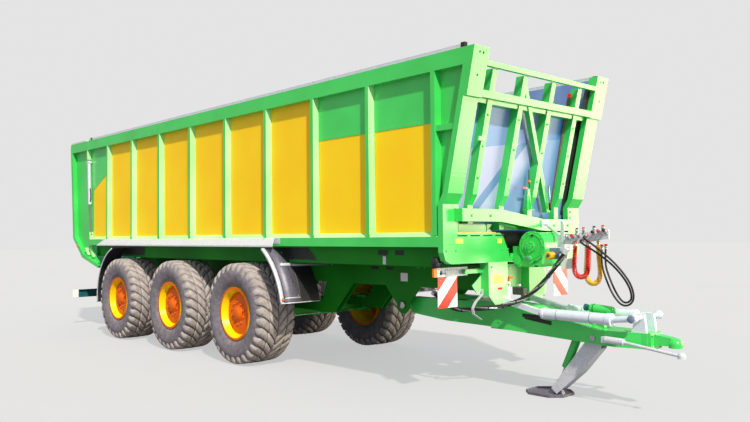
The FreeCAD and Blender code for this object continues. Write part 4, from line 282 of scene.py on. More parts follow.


# Body paint is fresh and glossy. The deeper chassis green is painted shade, and the pale green is a painted
# highlight for faces the low sun strikes.
GREEN = enamel("green_powder_coat", "#3acb57", "#43d963", coat=0.75)
# Painted shade: a darker copy of the green paint for the chassis, floor frame and axles, which lie in shade.
GREEN_PAINTED_SHADE = enamel("green_chassis_painted_shade", "#077d0e", "#0c8c16", 0.6)
# Painted highlight: a paler copy of the green paint for faces that face the low sun.
GREEN_PAINTED_HIGHLIGHT = enamel("green_painted_highlight", "#a6f0a0", "#b9f7b0")
YELLOW = enamel("yellow_powder_coat", "#ffcd00", "#ffd508", 0.5)
RIM_ORANGE = enamel("rim_enamel", "#d65a00", "#e36500", 0.3)
# Painted highlight: a yellower copy of the orange rim paint for the rims' barrels and flanges.
RIM_PAINTED_HIGHLIGHT = enamel("rim_barrel_painted_highlight", "#ffc800", "#ffd800", 0.3)
GALVANISED = galvanised_sheet("hot_dip_galvanised", "#cfd2e0", "#e2e4f0")
FENDER_STEEL = galvanised_sheet("dull_galvanised_fender", "#615f70", "#777586")
TYRE_RUBBER = tyre_rubber("sidewall_rubber", "#67626c", "#858089")
TYRE_TREAD = tyre_rubber("tread_rubber_dusty", "#938b8c", "#bab1ae")
# Moulded polyethylene is near-black with a dull shine; its 3 mm grain is the mould's.
FINE_GRAIN = (BLOTCHES, "Fac", 3, {}, 0.2, 0.4)
MOULDED_BLACK = moulded("moulded_polyethylene", 90, "#1e1d21", "#2c2b30", 0.5, FINE_GRAIN)
# Satin teal paint on the light bar and the steel bottles.
DARK_STEEL = moulded("satin_dark_paint", 200, "#12525a", "#1c626a", 0.45)
# Hard-chromed rods are bright mirrors.
CHROME = plated("hard_chrome", 8, "#c8c9d0", "#dcdde2", 1.0, 0.18)
TINTED_SHEET_PAINTED_SHADE = tinted_sheet_painted_shade()
# Fabric-backed belt rubber is matt black.
BELT_RUBBER = moulded("belt_rubber", 40, "#201f21", "#2e2d2f", 0.8)
RED_LENS = lamp_lens("red_acrylic_lens", "#a80f0c", "#ee3a28")
WHITE_LENS = lamp_lens("clear_acrylic_lens", "#d9dcdf", "#f4f5f6")
SMOKED_LENS = lamp_lens("smoked_acrylic_lens", "#2c332f", "#5f6a64")
AMBER_LENS = lamp_lens("amber_acrylic_lens", "#e86a08", "#ffa032")
# The load scours the inner walls to a satin blue-grey with shallow 40 mm scuffs.
SCUFFS = (BLOTCHES, "Fac", 40, {}, 0.2, 0.3)
INNER_WALL = moulded("scoured_wall_plate", 400, "#6f8fca", "#8aa6da", 0.4, SCUFFS)
# Blank vinyl labels, tape, blued steel and seal rubber: even colours with a soft shine.
LABEL_YELLOW = moulded("yellow_vinyl_label", 120, "#f7e24a", "#fdee62", 0.35)
LABEL_WHITE = moulded("white_vinyl_label", 120, "#eceaf0", "#f8f7fa", 0.35)
AMBER_PAINT = moulded("amber_line_tape", 120, "#f59a1f", "#ffb03a", 0.35)
STEEL_BLUE = moulded("blued_steel", 120, "#5f6f90", "#7787a8", 0.35)
BROWN_RUBBER = moulded("brown_seal_rubber", 120, "#6e6158", "#857669", 0.35)
GALVANISED_BRIGHT = galvanised_sheet("bright_galvanised", "#dde4f8", "#eaf0ff")
STRIPES = warning_stripes()
# Hose cover is extruded and wrapped in cloth while it cures, which leaves the fine grain.
HOSE_RUBBER = moulded("hose_cover_rubber", 30, "#19191c", "#2b2b30", 0.5, FINE_GRAIN)
BRAIDED_SLEEVE = braided_sleeve()
# Extruded polyamide tube and moulded caps have a waxy shine.
AIR_RED = moulded("red_polyamide_tube", 60, "#d5161c", "#ee2f2b", 0.3)
AIR_YELLOW = moulded("yellow_polyamide_tube", 60, "#e9a90c", "#f8c925", 0.3)
CAP_RED = moulded("red_dust_cap", 60, "#c8141a", "#e3282a", 0.3)
# Zinc plating on fittings and bolts is pale, slightly blue metal.
ZINC_PLATE = plated("zinc_plate", 10, "#a9adb8", "#d4d6de", 0.7, 0.3)

FINISHES = {
    "side_panels": YELLOW,
    "top_rails": GALVANISED,
    "spray_deflectors": GALVANISED,
    "suspension_rams": GALVANISED,
    "drawbar_rams": GALVANISED_BRIGHT,
    "steering_rod": GALVANISED,
    "stand_leg": GALVANISED,
    "stand_foot": FENDER_STEEL,
    "hose_holder": GALVANISED,
    "line_filter": LABEL_WHITE,
    "rear_light_bar": DARK_STEEL,
    "gate_rod_left": CHROME,
    "gate_rod_right": CHROME,
    "stand_rod": CHROME,
    "gate_barrel_left": GALVANISED,
    "gate_barrel_right": GALVANISED,
    "push_wall_window": TINTED_SHEET_PAINTED_SHADE,
    "floor_belt": BELT_RUBBER,
    "tail_lamps": MOULDED_BLACK,
    "front_lamps": AMBER_LENS,
    "warning_boards": STRIPES,
    # Painted shade: the chassis, floor frame and axles take the darker green.
    "chassis_frame": GREEN_PAINTED_SHADE,
    "floor_frame": GREEN_PAINTED_SHADE,
    "axles": GREEN_PAINTED_SHADE,
}


def dress_cad_nodes():
    """Every CAD node gets its finish; what isn't named is green paint."""
    for name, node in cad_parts.items():
        if name.startswith("tyre"):
            finish = TYRE_RUBBER
        elif name.startswith("rim"):
            finish = RIM_ORANGE
        else:
            finish = FINISHES.get(name, GREEN)
        node.data.materials.clear()
        node.data.materials.append(finish)


FACING = 0.5
HUB_FACE_Y = 1.325
DISC_EDGE_RADIUS = 0.2855
BOARD_TOP_Z = 1.2775
BOARD_FRONT_X = 3.8085
MARKER_BASE_Z = 1.3655
FILTER_HEAD_Z = 1.1495
FILTER_CAP_Z = 1.1965
FILTER_FOOT = (-0.148, 1.135)
RIB_ROOT_Y = 1.18
RIB_FRONT_X = 3.6
SILL_TOP_Z = 1.8
WALL_FACE_Y = 1.1725
BELT_TOP_Z = 1.75
GATE_FACE_Y = 1.16
GATE_FLOOR_Z = 1.72
LEG_REAR_X = 3.8
BOTTLE_CAP_X = 4.836


def zone_cad_nodes():
    """Second finishes on parts of CAD nodes."""
    for place, side in WHEELS:
        # Painted highlight: each rim's barrel and flange take the yellower copy of the rim paint.
        zoned(f"rim_{place}_{side}", (RIM_PAINTED_HIGHLIGHT, on_rim_barrel))
    hubs = ["axles"] + [
        f"knuckle_{place}_{side}" for place in ("front", "rear") for side in ("left", "right")
    ]
    for name in hubs:
        zoned(name, (RIM_ORANGE, lambda c, n: abs(c.y) > HUB_FACE_Y))
    zoned(
        "warning_boards",
        (GALVANISED, lambda c, n: c.z > BOARD_TOP_Z),
        (GREEN, lambda c, n: c.x > BOARD_FRONT_X),
    )
    zoned("front_lamps", (MOULDED_BLACK, lambda c, n: c.z > MARKER_BASE_Z))
    zoned(
        "line_filter",
        (ZINC_PLATE, lambda c, n: c.z > FILTER_HEAD_Z),
        (AMBER_LENS, lambda c, n: c.z > FILTER_CAP_Z),
        (MOULDED_BLACK, lambda c, n: c.z < FILTER_FOOT[1] and c.y > FILTER_FOOT[0]),
    )
    zoned("side_panels", (INNER_WALL, lambda c, n: n.y * c.y < -FACING))
    # Painted highlight: the ribs' front faces and upward faces low on the sides take the pale green.
    zoned(
        "side_frames",
        (GREEN_PAINTED_HIGHLIGHT, lambda c, n: n.x > FACING and abs(c.y) > RIB_ROOT_Y and c.x < RIB_FRONT_X),
        (GREEN_PAINTED_HIGHLIGHT, lambda c, n: n.z > FACING and abs(c.y) > RIB_ROOT_Y and c.z < SILL_TOP_Z),
        (INNER_WALL, lambda c, n: n.y * c.y < -FACING and abs(c.y) < WALL_FACE_Y and c.z > BELT_TOP_Z),
    )
    zoned(
        "tailgate",
        (INNER_WALL, lambda c, n: n.x > FACING and abs(c.y) < GATE_FACE_Y and c.z > GATE_FLOOR_Z),
    )
    # The front legs keep the plain green instead of the painted shade, and their front faces take the
    # painted highlight.
    zoned(
        "chassis_frame",
        (GREEN, lambda c, n: c.x > LEG_REAR_X),
        (GREEN_PAINTED_HIGHLIGHT, lambda c, n: c.x > LEG_REAR_X and n.x > FACING),
    )
    zoned("accumulators", (DARK_STEEL, lambda c, n: c.x < BOTTLE_CAP_X))


def nearest_axle(x):
    """X of the axle that is closest."""
    return min((AXLE_X - AXLE_PITCH, AXLE_X, AXLE_X + AXLE_PITCH), key=lambda axle: abs(axle - x))


def on_rim_barrel(middle, normal):
    """Whether a rim face is part of the flange or the barrel outside the disc."""
    reach = math.hypot(middle.x - nearest_axle(middle.x), middle.z - AXLE_Z)
    return reach > DISC_EDGE_RADIUS and abs(normal.y) < 0.6


# --- shapes -------------------------------------------------------------------------------

def made(name, vertices, faces, finish, smooth=False):
    """An object from corners and faces, in one finish."""
    mesh = bpy.data.meshes.new(name)
    mesh.from_pydata([tuple(v) for v in vertices], [], faces)
    mesh.materials.append(finish)
    mesh.polygons.foreach_set("use_smooth", [smooth] * len(mesh.polygons))
    mesh.update()
    shape = bpy.data.objects.new(name, mesh)
    bpy.context.scene.collection.objects.link(shape)
    return shape


def from_mesh(name, mesh):
    """An object round a mesh."""
    shape = bpy.data.objects.new(name, mesh)
    bpy.context.scene.collection.objects.link(shape)
    return shape


def lathe(name, profile, finish, segments=96, centre=(0, 0, 0), smooth_angle=30):
    """A closed (y, radius) outline turned round an axis along Y."""
    count = len(profile)
    corners = []
    for i in range(segments):
        a = math.tau * i / segments
        corners += [
            (centre[0] + r * math.sin(a), centre[1] + y, centre[2] + r * math.cos(a)) for y, r in profile
        ]
    faces = []
    for i in range(segments):
        near, far = i * count, (i + 1) % segments * count
        for k in range(count):
            n = (k + 1) % count
            faces.append((near + k, near + n, far + n, far + k))
    shape = made(name, corners, faces, finish, smooth=True)
    tidy(shape.data, smooth_angle)
    return shape


def tidy(mesh, smooth_angle=30):
    """Merges doubles, turns the faces outwards and keeps edges sharper than the angle crisp."""
    work = bmesh.new()
    work.from_mesh(mesh)
    bmesh.ops.remove_doubles(work, verts=work.verts, dist=1e-5)
    bmesh.ops.recalc_face_normals(work, faces=work.faces)
    work.to_mesh(mesh)
    work.free()
    mesh.polygons.foreach_set("use_smooth", [True] * len(mesh.polygons))
    mesh.set_sharp_from_angle(angle=math.radians(smooth_angle))
    mesh.update()


def joined(name, parts):
    """Several objects as one."""
    corners, faces, finishes, marks, smooth = [], [], [], [], []
    for part in parts:
        start_at = len(corners)
        corners += [part.matrix_world @ v.co for v in part.data.vertices]
        slots = []
        for finish in part.data.materials:
            if finish not in finishes:
                finishes.append(finish)
            slots.append(finishes.index(finish))
        for polygon in part.data.polygons:
            faces.append([start_at + v for v in polygon.vertices])
            marks.append(slots[polygon.material_index])
            smooth.append(polygon.use_smooth)
        bpy.data.objects.remove(part)
    mesh = bpy.data.meshes.new(name)
    mesh.from_pydata(corners, [], faces)
    for finish in finishes:
        mesh.materials.append(finish)
    mesh.polygons.foreach_set("material_index", marks)
    mesh.polygons.foreach_set("use_smooth", smooth)
    mesh.update()
    return from_mesh(name, mesh)


def slab(name, outline, axis, low, high, finish, bevel=0.0015):
    """A plate: an outline in the plane across an axis, given thickness along it, with eased edges."""
    order = {"x": (2, 0, 1), "y": (0, 2, 1), "z": (0, 1, 2)}[axis]
    work = bmesh.new()
    rings = []
    for reach in (low, high):
        ring = []
        for u, v in outline:
            place = (u, v, reach)
            ring.append(work.verts.new([place[order[k]] for k in range(3)]))
        rings.append(ring)
    count = len(outline)
    work.faces.new(rings[0])
    work.faces.new(rings[1][::-1])
    for i in range(count):
        n = (i + 1) % count
        work.faces.new((rings[0][i], rings[1][i], rings[1][n], rings[0][n]))
    bmesh.ops.recalc_face_normals(work, faces=work.faces)
    if bevel:
        bmesh.ops.bevel(
            work, geom=list(work.edges), offset=bevel, segments=1, affect="EDGES", clamp_overlap=True
        )
    mesh = bpy.data.meshes.new(name)
    work.to_mesh(mesh)
    work.free()
    mesh.materials.append(finish)
    return from_mesh(name, mesh)


def block(name, low, high, finish, bevel=0.0015):
    """A bar or plate between two corners, with eased edges."""
    outline = [(low[0], low[1]), (high[0], low[1]), (high[0], high[1]), (low[0], high[1])]
    return slab(name, outline, "z", low[2], high[2], finish, bevel)


def pipe(name, start, end, radius, finish, segments=20):
    """A round bar with eased ends."""
    start, end = Vector(start), Vector(end)
    long = (end - start).length
    ease = min(radius * 0.15, long * 0.2)
    profile = [
        (0.0, 0.0),
        (0.0, radius - ease),
        (ease, radius),
        (long - ease, radius),
        (long, radius - ease),
        (long, 0.0),
    ]
    return turned(name, profile, start, end - start, finish, segments)


def bolt(place, along, size, finish=None):
    """A hexagon head on its washer."""
    finish = finish or ZINC_PLATE
    washer = [(0.0, 0.0), (0.0, size * 1.1), (size * 0.18, size * 1.1), (size * 0.18, 0.0)]
    head = [
        (size * 0.17, 0.0), (size * 0.17, size * 0.9), (size * 0.75, size * 0.9), (size * 0.85, size * 0.78)
    ]
    head += [(size * 0.85, 0.0)]
    return [
        turned("washer", washer, place, along, finish, 16),
        turned("bolt_head", head, place, along, finish, 6),
    ]


def fitted(name, shapes, body="root", replaces=()):
    """Joins shapes to one piece that rides on a body."""
    piece = joined(name, shapes)
    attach(piece, body)
    if replaces:
        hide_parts(*replaces)
    return piece


def mirrored_shape(shape):
    """The shape's twin on the other side of the middle plane."""
    mesh = shape.data.copy()
    mesh.transform(Matrix.Scale(-1, 4, (0, 1, 0)))
    mesh.flip_normals()
    return from_mesh(shape.name + "_twin", mesh)


def both(shapes):
    """The shapes and their twins on the other side."""
    return list(shapes) + [mirrored_shape(shape) for shape in shapes]


def zoned(name, *zones):
    """Gives a CAD node's faces further finishes where a test on middle and normal holds."""
    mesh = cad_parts[name].data
    for finish, test in zones:
        mesh.materials.append(finish)
        index = len(mesh.materials) - 1
        for face in mesh.polygons:
            if test(face.center, face.normal):
                face.material_index = index


# --- repeats ------------------------------------------------------------------------------

def copies_tree(name, own_inputs, places):
    """Geometry Nodes that copy a shape to the places, realize the copies and give them one finish."""
    tree = bpy.data.node_groups.new(name, "GeometryNodeTree")
    for label, kind in (("Geometry", "Geometry"), ("Count", "Int"), *own_inputs, ("Finish", "Material")):
        tree.interface.new_socket(label, in_out="INPUT", socket_type="NodeSocket" + kind)
    tree.interface.new_socket("Geometry", in_out="OUTPUT", socket_type="NodeSocketGeometry")
    given = add(tree, "NodeGroupInput")
    result = add(tree, "NodeGroupOutput")
    links = {**places(tree, given), "Instance": given.outputs["Geometry"]}
    copies = add(tree, "GeometryNodeInstanceOnPoints", links=links)
    real = add(tree, "GeometryNodeRealizeInstances", links={"Geometry": copies.outputs["Instances"]})
    links = {"Geometry": real.outputs["Geometry"], "Material": given.outputs["Finish"]}
    painted = add(tree, "GeometryNodeSetMaterial", links=links)
    tree.links.new(painted.outputs["Geometry"], result.inputs["Geometry"])
    return tree


def places_round_y(tree, given):
    """Points at the middle, each turned about Y by its share of a full turn."""
    points = add(tree, "GeometryNodePoints", links={"Count": given.outputs["Count"]})
    index = add(tree, "GeometryNodeInputIndex").outputs[0]
    share = {1: given.outputs["Count"]}
    step = add(tree, "ShaderNodeMath", {"operation": "DIVIDE"}, {0: math.tau}, share).outputs[0]
    angle = add(tree, "ShaderNodeMath", {"operation": "MULTIPLY"}, links={0: index, 1: step}).outputs[0]
    turn = add(tree, "ShaderNodeCombineXYZ", links={"Y": angle})
    return {"Points": points.outputs["Points"], "Rotation": turn.outputs["Vector"]}


def places_in_a_row(tree, given):
    """Points that lie one step apart on a straight line."""
    links = {"Count": given.outputs["Count"], "Offset": given.outputs["Step"]}
    return {"Points": add(tree, "GeometryNodeMeshLine", links=links).outputs["Mesh"]}


def repeated(shape, tree, finish, **sizes):
    """The shape's mesh after a Geometry Nodes tree with these inputs, as a plain mesh."""
    modifier = shape.modifiers.new("repeat", "NODES")
    modifier.node_group = tree
    values = {"Finish": finish, **sizes}
    for item in tree.interface.items_tree:
        if item.in_out == "INPUT" and item.name in values:
            modifier[item.identifier] = values[item.name]
    bpy.context.view_layer.update()
    evaluated = shape.evaluated_get(bpy.context.evaluated_depsgraph_get())
    mesh = bpy.data.meshes.new_from_object(evaluated)
    shape.modifiers.clear()
    bpy.data.objects.remove(shape)
    return mesh


def ring(shapes, count, finish, middle=(0, 0, 0)):
    """Copies of a few shapes, evenly spaced round the Y axis and moved to a middle."""
    shape = from_mesh("ring", repeated(joined("one", shapes), RING, finish, Count=count))
    shape.data.transform(Matrix.Translation(middle))
    return shape


def row(shapes, count, step, finish):
    """Copies of a few shapes in a straight, even row."""
    return from_mesh("row", repeated(joined("one", shapes), ROW, finish, Count=count, Step=step))


# --- tyres --------------------------------------------------------------------------------

TYRE_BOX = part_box("tyre_middle_right")
TYRE_RADIUS = (TYRE_BOX[1].z - TYRE_BOX[0].z) / 2
TYRE_HALF = (TYRE_BOX[1].y - TYRE_BOX[0].y) / 2
LUG_COUNT = 30
LUG_HEIGHT = 0.026
GROOVE = 0.024
TREAD_HALF = 0.250
CROWN_DROP = 0.008


def crown(y):
    """Radius of the tread's top at a distance from the middle."""
    return TYRE_RADIUS - CROWN_DROP * (abs(y) / TREAD_HALF) ** 2


def lead(y):
    """How far a lug's edge runs ahead of its shoulder end, in metres round the tread."""
    reach = max(0.0, 1 - abs(y) / TREAD_HALF)
    return 0.235 * reach**1.35


def lug(y0, y1, shift, width, finish):
    """One block of a chevron bar between two distances from the middle, with bevelled edges."""
    steps = 6
    rows = []
    for i in range(steps + 1):
        y = y0 + (y1 - y0) * i / steps
        end = 0.006 if i in (0, steps) else 0.0
        y_top = y + (end if i == 0 else -end) * (1 if y1 > y0 else -1)
        base = crown(y) - LUG_HEIGHT - 0.006
        row = []
        for across, radius, at in (
            (-width / 2 - 0.004, base, y),
            (-width / 2 + 0.003, crown(y) - 0.006 - end * 0.5, y_top),
            (-width / 2 + 0.009, crown(y) - end * 0.5, y_top),
            (width / 2 - 0.009, crown(y) - end * 0.5, y_top),
            (width / 2 - 0.003, crown(y) - 0.006 - end * 0.5, y_top),
            (width / 2 + 0.004, base, y),
        ):
            angle = (lead(y) + shift + across) / TYRE_RADIUS
            row.append((radius * math.sin(angle), at, radius * math.cos(angle)))
        rows.append(row)
    corners = [c for row in rows for c in row]
    faces = []
    size = len(rows[0])
    for i in range(steps):
        for k in range(size - 1):
            a = i * size + k
            faces.append((a, a + 1, a + size + 1, a + size))
    faces.append(tuple(range(size)))
    faces.append(tuple(reversed(range(steps * size, steps * size + size))))
    return made("lug", corners, faces, finish)


def shoulder_lug(hand, width, finish):
    """The bar's end, which wraps over the shoulder and fades into the sidewall."""
    rings = [
        (TREAD_HALF - 0.004, crown(TREAD_HALF)),
        (TREAD_HALF + 0.014, crown(TREAD_HALF) - 0.010),
        (TREAD_HALF + 0.030, TYRE_RADIUS - 0.040),
        (TREAD_HALF + 0.040, TYRE_RADIUS - 0.072),
        (TYRE_HALF - 0.010, TYRE_RADIUS - 0.105),
    ]
    corners = []
    for i, (y, radius) in enumerate(rings):
        narrow = 1 - 0.09 * i
        for across, drop in ((-0.5, 0.034), (-0.44, 0.0), (0.44, 0.0), (0.5, 0.034)):
            angle = across * width * narrow / TYRE_RADIUS
            low = max(0.0, drop - 0.004 * i)
            corners.append(
                ((radius - low) * math.sin(angle), hand * (y - low * 0.4), (radius - low) * math.cos(angle))
            )
    faces = []
    for i in range(len(rings) - 1):
        for k in range(3):
            a = i * 4 + k
            faces.append((a, a + 1, a + 5, a + 4))
    return made("lug_end", corners, faces, finish)


def tyre_carcass(finish):
    """The sidewalls and the groove floors as one turned shape."""
    half = [
        (TYRE_HALF - 0.069, 0.342),
        (TYRE_HALF - 0.067, 0.362),
        (TYRE_HALF - 0.052, 0.375),
        (TYRE_HALF - 0.044, 0.392),
        (TYRE_HALF - 0.036, 0.396),
        (TYRE_HALF - 0.026, 0.420),
        (TYRE_HALF - 0.010, 0.462),
        (TYRE_HALF - 0.002, 0.505),
        (TYRE_HALF - 0.003, 0.548),
        (TYRE_HALF - 0.012, 0.580),
        (TYRE_HALF - 0.016, 0.584),
        (TYRE_HALF - 0.030, 0.612),
        (TREAD_HALF, 0.638),
        (0.200, 0.650),
        (0.100, 0.654),
    ]
    outline = [(-y, r) for y, r in half] + [(y, r) for y, r in reversed(half)]
    return lathe("carcass", outline, finish, segments=120)


def tyre_mesh():
    """One whole tyre: two handed rows of lugs, half a pitch apart, on a turned carcass."""
    pitch = math.tau * TYRE_RADIUS / LUG_COUNT
    width = pitch - GROOVE
    split = 0.135
    bars = []
    for hand in (-1, 1):
        shift = 0.0 if hand < 0 else pitch / 2
        pieces = [
            lug(hand * 0.006, hand * (split - 0.004), shift - 0.012, width, TYRE_TREAD),
            lug(hand * (split + 0.004), hand * (TREAD_HALF + 0.002), shift, width, TYRE_TREAD),
        ]
        end = shoulder_lug(hand, width, TYRE_TREAD)
        end.data.transform(Matrix.Rotation(shift / TYRE_RADIUS, 4, "Y"))
        bars += [*pieces, end]
    bar = joined("bar", bars)
    tread = from_mesh("tread", repeated(bar, RING, TYRE_TREAD, Count=LUG_COUNT))
    tidy(tread.data, 40)
    return joined("tyre", [tyre_carcass(TYRE_RUBBER), tread])


def dress_tyres():
    """Six tyres from one pattern, each standing for its plain CAD tyre."""
    pattern = tyre_mesh()
    for place, side in WHEELS:
        low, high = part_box(f"tyre_{place}_{side}")
        tyre = from_mesh(f"tread_tyre_{place}_{side}", pattern.data.copy())
        tyre.data.transform(Matrix.Translation((low + high) / 2))
        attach(tyre, f"wheel_{place}_{side}")
        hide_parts(f"tyre_{place}_{side}")
    bpy.data.objects.remove(pattern)


# --- cords --------------------------------------------------------------------------------

PRESSURE_HOSE_DIAMETER = 0.020
AIR_TUBE_DIAMETER = 0.012
AIR_COIL_DIAMETER = 0.055
AIR_COIL_PITCH = 0.0168

HOSE_BUNDLE_ROUTE = [
    (3.2230, -0.6000, 1.0400),
    (3.3380, -0.6080, 0.9880),
    (3.4580, -0.6160, 0.9120),
    (3.5930, -0.6220, 0.8840),
    (3.7430, -0.6160, 0.9040),
    (3.8830, -0.5750, 0.9180),
    (4.0030, -0.4600, 0.9360),
    (4.1180, -0.3300, 0.9780),
    (4.2230, -0.2500, 1.0450),
    (4.3230, -0.2100, 1.1300),
    (4.4130, -0.1900, 1.2220),
    (4.4950, -0.1780, 1.3250),
    (4.5730, -0.1700, 1.4180),
    (4.6330, -0.1660, 1.5050),
]
PRESSURE_HOSE_ROUTES = {
    "outer": [
        (4.7930, -0.0973, 1.6420),
        (4.8010, -0.1453, 1.6340),
        (4.8510, -0.1753, 1.6050),
        (4.9380, -0.1760, 1.5600),
        (5.0430, -0.1660, 1.4920),
        (5.1630, -0.1480, 1.4000),
        (5.2580, -0.1220, 1.2870),
        (5.3130, -0.0980, 1.1820),
        (5.3290, -0.0860, 1.0950),
        (5.3100, -0.0780, 1.0480),
        (5.2640, -0.0720, 1.0240),
        (5.2140, -0.0660, 1.0350),
        (5.1470, -0.0620, 1.1200),
        (5.0780, -0.0580, 1.2620),
        (5.0300, -0.0600, 1.4100),
        (5.0450, -0.0593, 1.5500),
    ],
    "inner": [
        (4.8350, -0.0973, 1.6820),
        (4.8430, -0.1473, 1.6750),
        (4.8880, -0.1853, 1.6500),
        (4.9730, -0.1900, 1.6000),
        (5.0780, -0.1820, 1.5220),
        (5.1930, -0.1650, 1.4220),
        (5.2880, -0.1380, 1.3040),
        (5.3430, -0.1120, 1.1980),
        (5.3600, -0.0980, 1.0940),
        (5.3320, -0.0900, 1.0280),
        (5.2680, -0.0840, 0.9940),
        (5.1980, -0.0800, 1.0100),
        (5.1190, -0.0780, 1.1040),
        (5.0490, -0.0740, 1.2500),
        (4.9930, -0.0640, 1.4080),
        (5.0010, -0.0593, 1.5450),
    ],
}
AIR_HOSE_RED_ROUTE = [
    (4.6950, -0.0593, 1.5800),
    (4.6920, -0.0593, 1.4950),
    (4.6860, -0.0703, 1.4020),
    (4.6950, -0.0773, 1.3060),
    (4.7390, -0.0773, 1.2610),
    (4.8020, -0.0773, 1.2620),
    (4.8460, -0.0773, 1.3060),
    (4.8530, -0.0703, 1.4000),
    (4.8515, -0.0593, 1.4940),
    (4.8500, -0.0593, 1.5850),
]
AIR_HOSE_YELLOW_ROUTE = [
    (4.8080, -0.0127, 1.5820),
    (4.8060, -0.0127, 1.4980),
    (4.7980, -0.0127, 1.4150),
    (4.7900, -0.0127, 1.3280),
    (4.7960, -0.0127, 1.2390),
    (4.8400, -0.0127, 1.1950),
    (4.9020, -0.0127, 1.1960),
    (4.9460, -0.0127, 1.2390),
    (4.9530, -0.0127, 1.3300),
    (4.9450, -0.0127, 1.4180),
    (4.9380, -0.0127, 1.5030),
    (4.9360, -0.0127, 1.5880),
]


def route_curve(name, route):
    """A curve object with the route as its control points."""
    curve = bpy.data.curves.new(name, "CURVE")
    curve.dimensions = "3D"
    curve.resolution_u = 12
    spline = curve.splines.new("NURBS")
    spline.points.add(len(route) - 1)
    for point, place in zip(spline.points, route):
        point.co = (*place, 1.0)
    spline.order_u = 3
    spline.use_endpoint_u = True
    holder = bpy.data.objects.new(name, curve)
    bpy.context.scene.collection.objects.link(holder)
    return holder


def route_line(route):
    """Points along the route's smooth line."""
    holder = route_curve("line", route)
    bpy.context.view_layer.update()
    mesh = bpy.data.meshes.new_from_object(holder.evaluated_get(bpy.context.evaluated_depsgraph_get()))
    line = [v.co.copy() for v in mesh.vertices]
    bpy.data.meshes.remove(mesh)
    bpy.data.objects.remove(holder)
    return line


def line_length(line):
    """Length of a line of points."""
    return sum((b - a).length for a, b in zip(line, line[1:]))


def stations(line, count):
    """Even places on a line, each with its direction and two sides that turn as little as they can."""
    reach = [0.0]
    for a, b in zip(line, line[1:]):
        reach.append(reach[-1] + (b - a).length)
    found = []
    side = None
    k = 0
    for i in range(count):
        far = reach[-1] * i / (count - 1)
        while k < len(line) - 2 and reach[k + 1] < far:
            k += 1
        share = (far - reach[k]) / max(reach[k + 1] - reach[k], 1e-9)
        place = line[k].lerp(line[k + 1], share)
        along = (line[k + 1] - line[k]).normalized()
        side = along.orthogonal() if side is None else side - along * side.dot(along)
        side = side.normalized()
        found.append((place, along, side, along.cross(side)))
    return found


def tube(name, line, radius, finish, sides=8):
    """A round tube through every point of a line, closed at both ends."""
    corners, faces = [], []
    side = None
    for i, place in enumerate(line):
        along = (line[min(i + 1, len(line) - 1)] - line[max(i - 1, 0)]).normalized()
        side = along.orthogonal() if side is None else side - along * side.dot(along)
        side = side.normalized()
        other = along.cross(side)
        for k in range(sides):
            a = math.tau * k / sides
            corners.append(place + side * radius * math.cos(a) + other * radius * math.sin(a))
    for i in range(len(line) - 1):
        for k in range(sides):
            n = (k + 1) % sides
            faces.append((i * sides + k, i * sides + n, (i + 1) * sides + n, (i + 1) * sides + k))
    faces.append(tuple(reversed(range(sides))))
    faces.append(tuple(range(len(corners) - sides, len(corners))))
    shape = made(name, corners, faces, finish, smooth=True)
    shape.data.set_sharp_from_angle(angle=math.radians(60))
    return shape


def winding(line, radius, turns, per_turn, start_angle=0.0):
    """A line wound round another at an even pitch."""
    wound = []
    for i, (place, _, side, other) in enumerate(stations(line, int(turns * per_turn) + 1)):
        a = start_angle + math.tau * i / per_turn
        wound.append(place + side * radius * math.cos(a) + other * radius * math.sin(a))
    return wound


def turned(name, profile, place, along, finish, segments=20):
    """A closed (reach, radius) outline turned round any axis from a place."""
    shape = lathe(name, profile, finish, segments)
    along = Vector(along).normalized()
    shape.data.transform(
        Matrix.Translation(place) @ Vector((0, 1, 0)).rotation_difference(along).to_matrix().to_4x4()
    )
    return shape


def coupler(place, along, cap):
    """Crimped hose end, nut and quick coupler, which ends in its dust cap."""
    ferrule = [
        (-0.004, 0.0), (-0.004, 0.0125), (0.0, 0.0135), (0.006, 0.0135), (0.008, 0.0125), (0.011, 0.0135)
    ]
    ferrule += [(0.017, 0.0135), (0.019, 0.012), (0.020, 0.0)]
    nut = [(0.0195, 0.0), (0.0195, 0.0165), (0.0205, 0.017), (0.030, 0.017), (0.031, 0.0165), (0.031, 0.0)]
    body = [
        (0.0305, 0.0), (0.0305, 0.0145), (0.036, 0.0155), (0.038, 0.0168), (0.050, 0.0168), (0.052, 0.016)
    ]
    body += [(0.052, 0.0)]
    shapes = [
        turned("ferrule", ferrule, place, along, ZINC_PLATE),
        turned("nut", nut, place, along, ZINC_PLATE, 6),
        turned("coupler_body", body, place, along, cap),
    ]
    return shapes


def fittings(name, line, cap):
    """The couplers at both ends of a hose as one piece, which stands in for their CAD cylinders."""
    shapes = coupler(line[0], line[0] - line[1], cap) + coupler(line[-1], line[-1] - line[-2], cap)
    piece = joined(name, shapes)
    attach(piece, "root")
    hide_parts("couplers")
    return piece


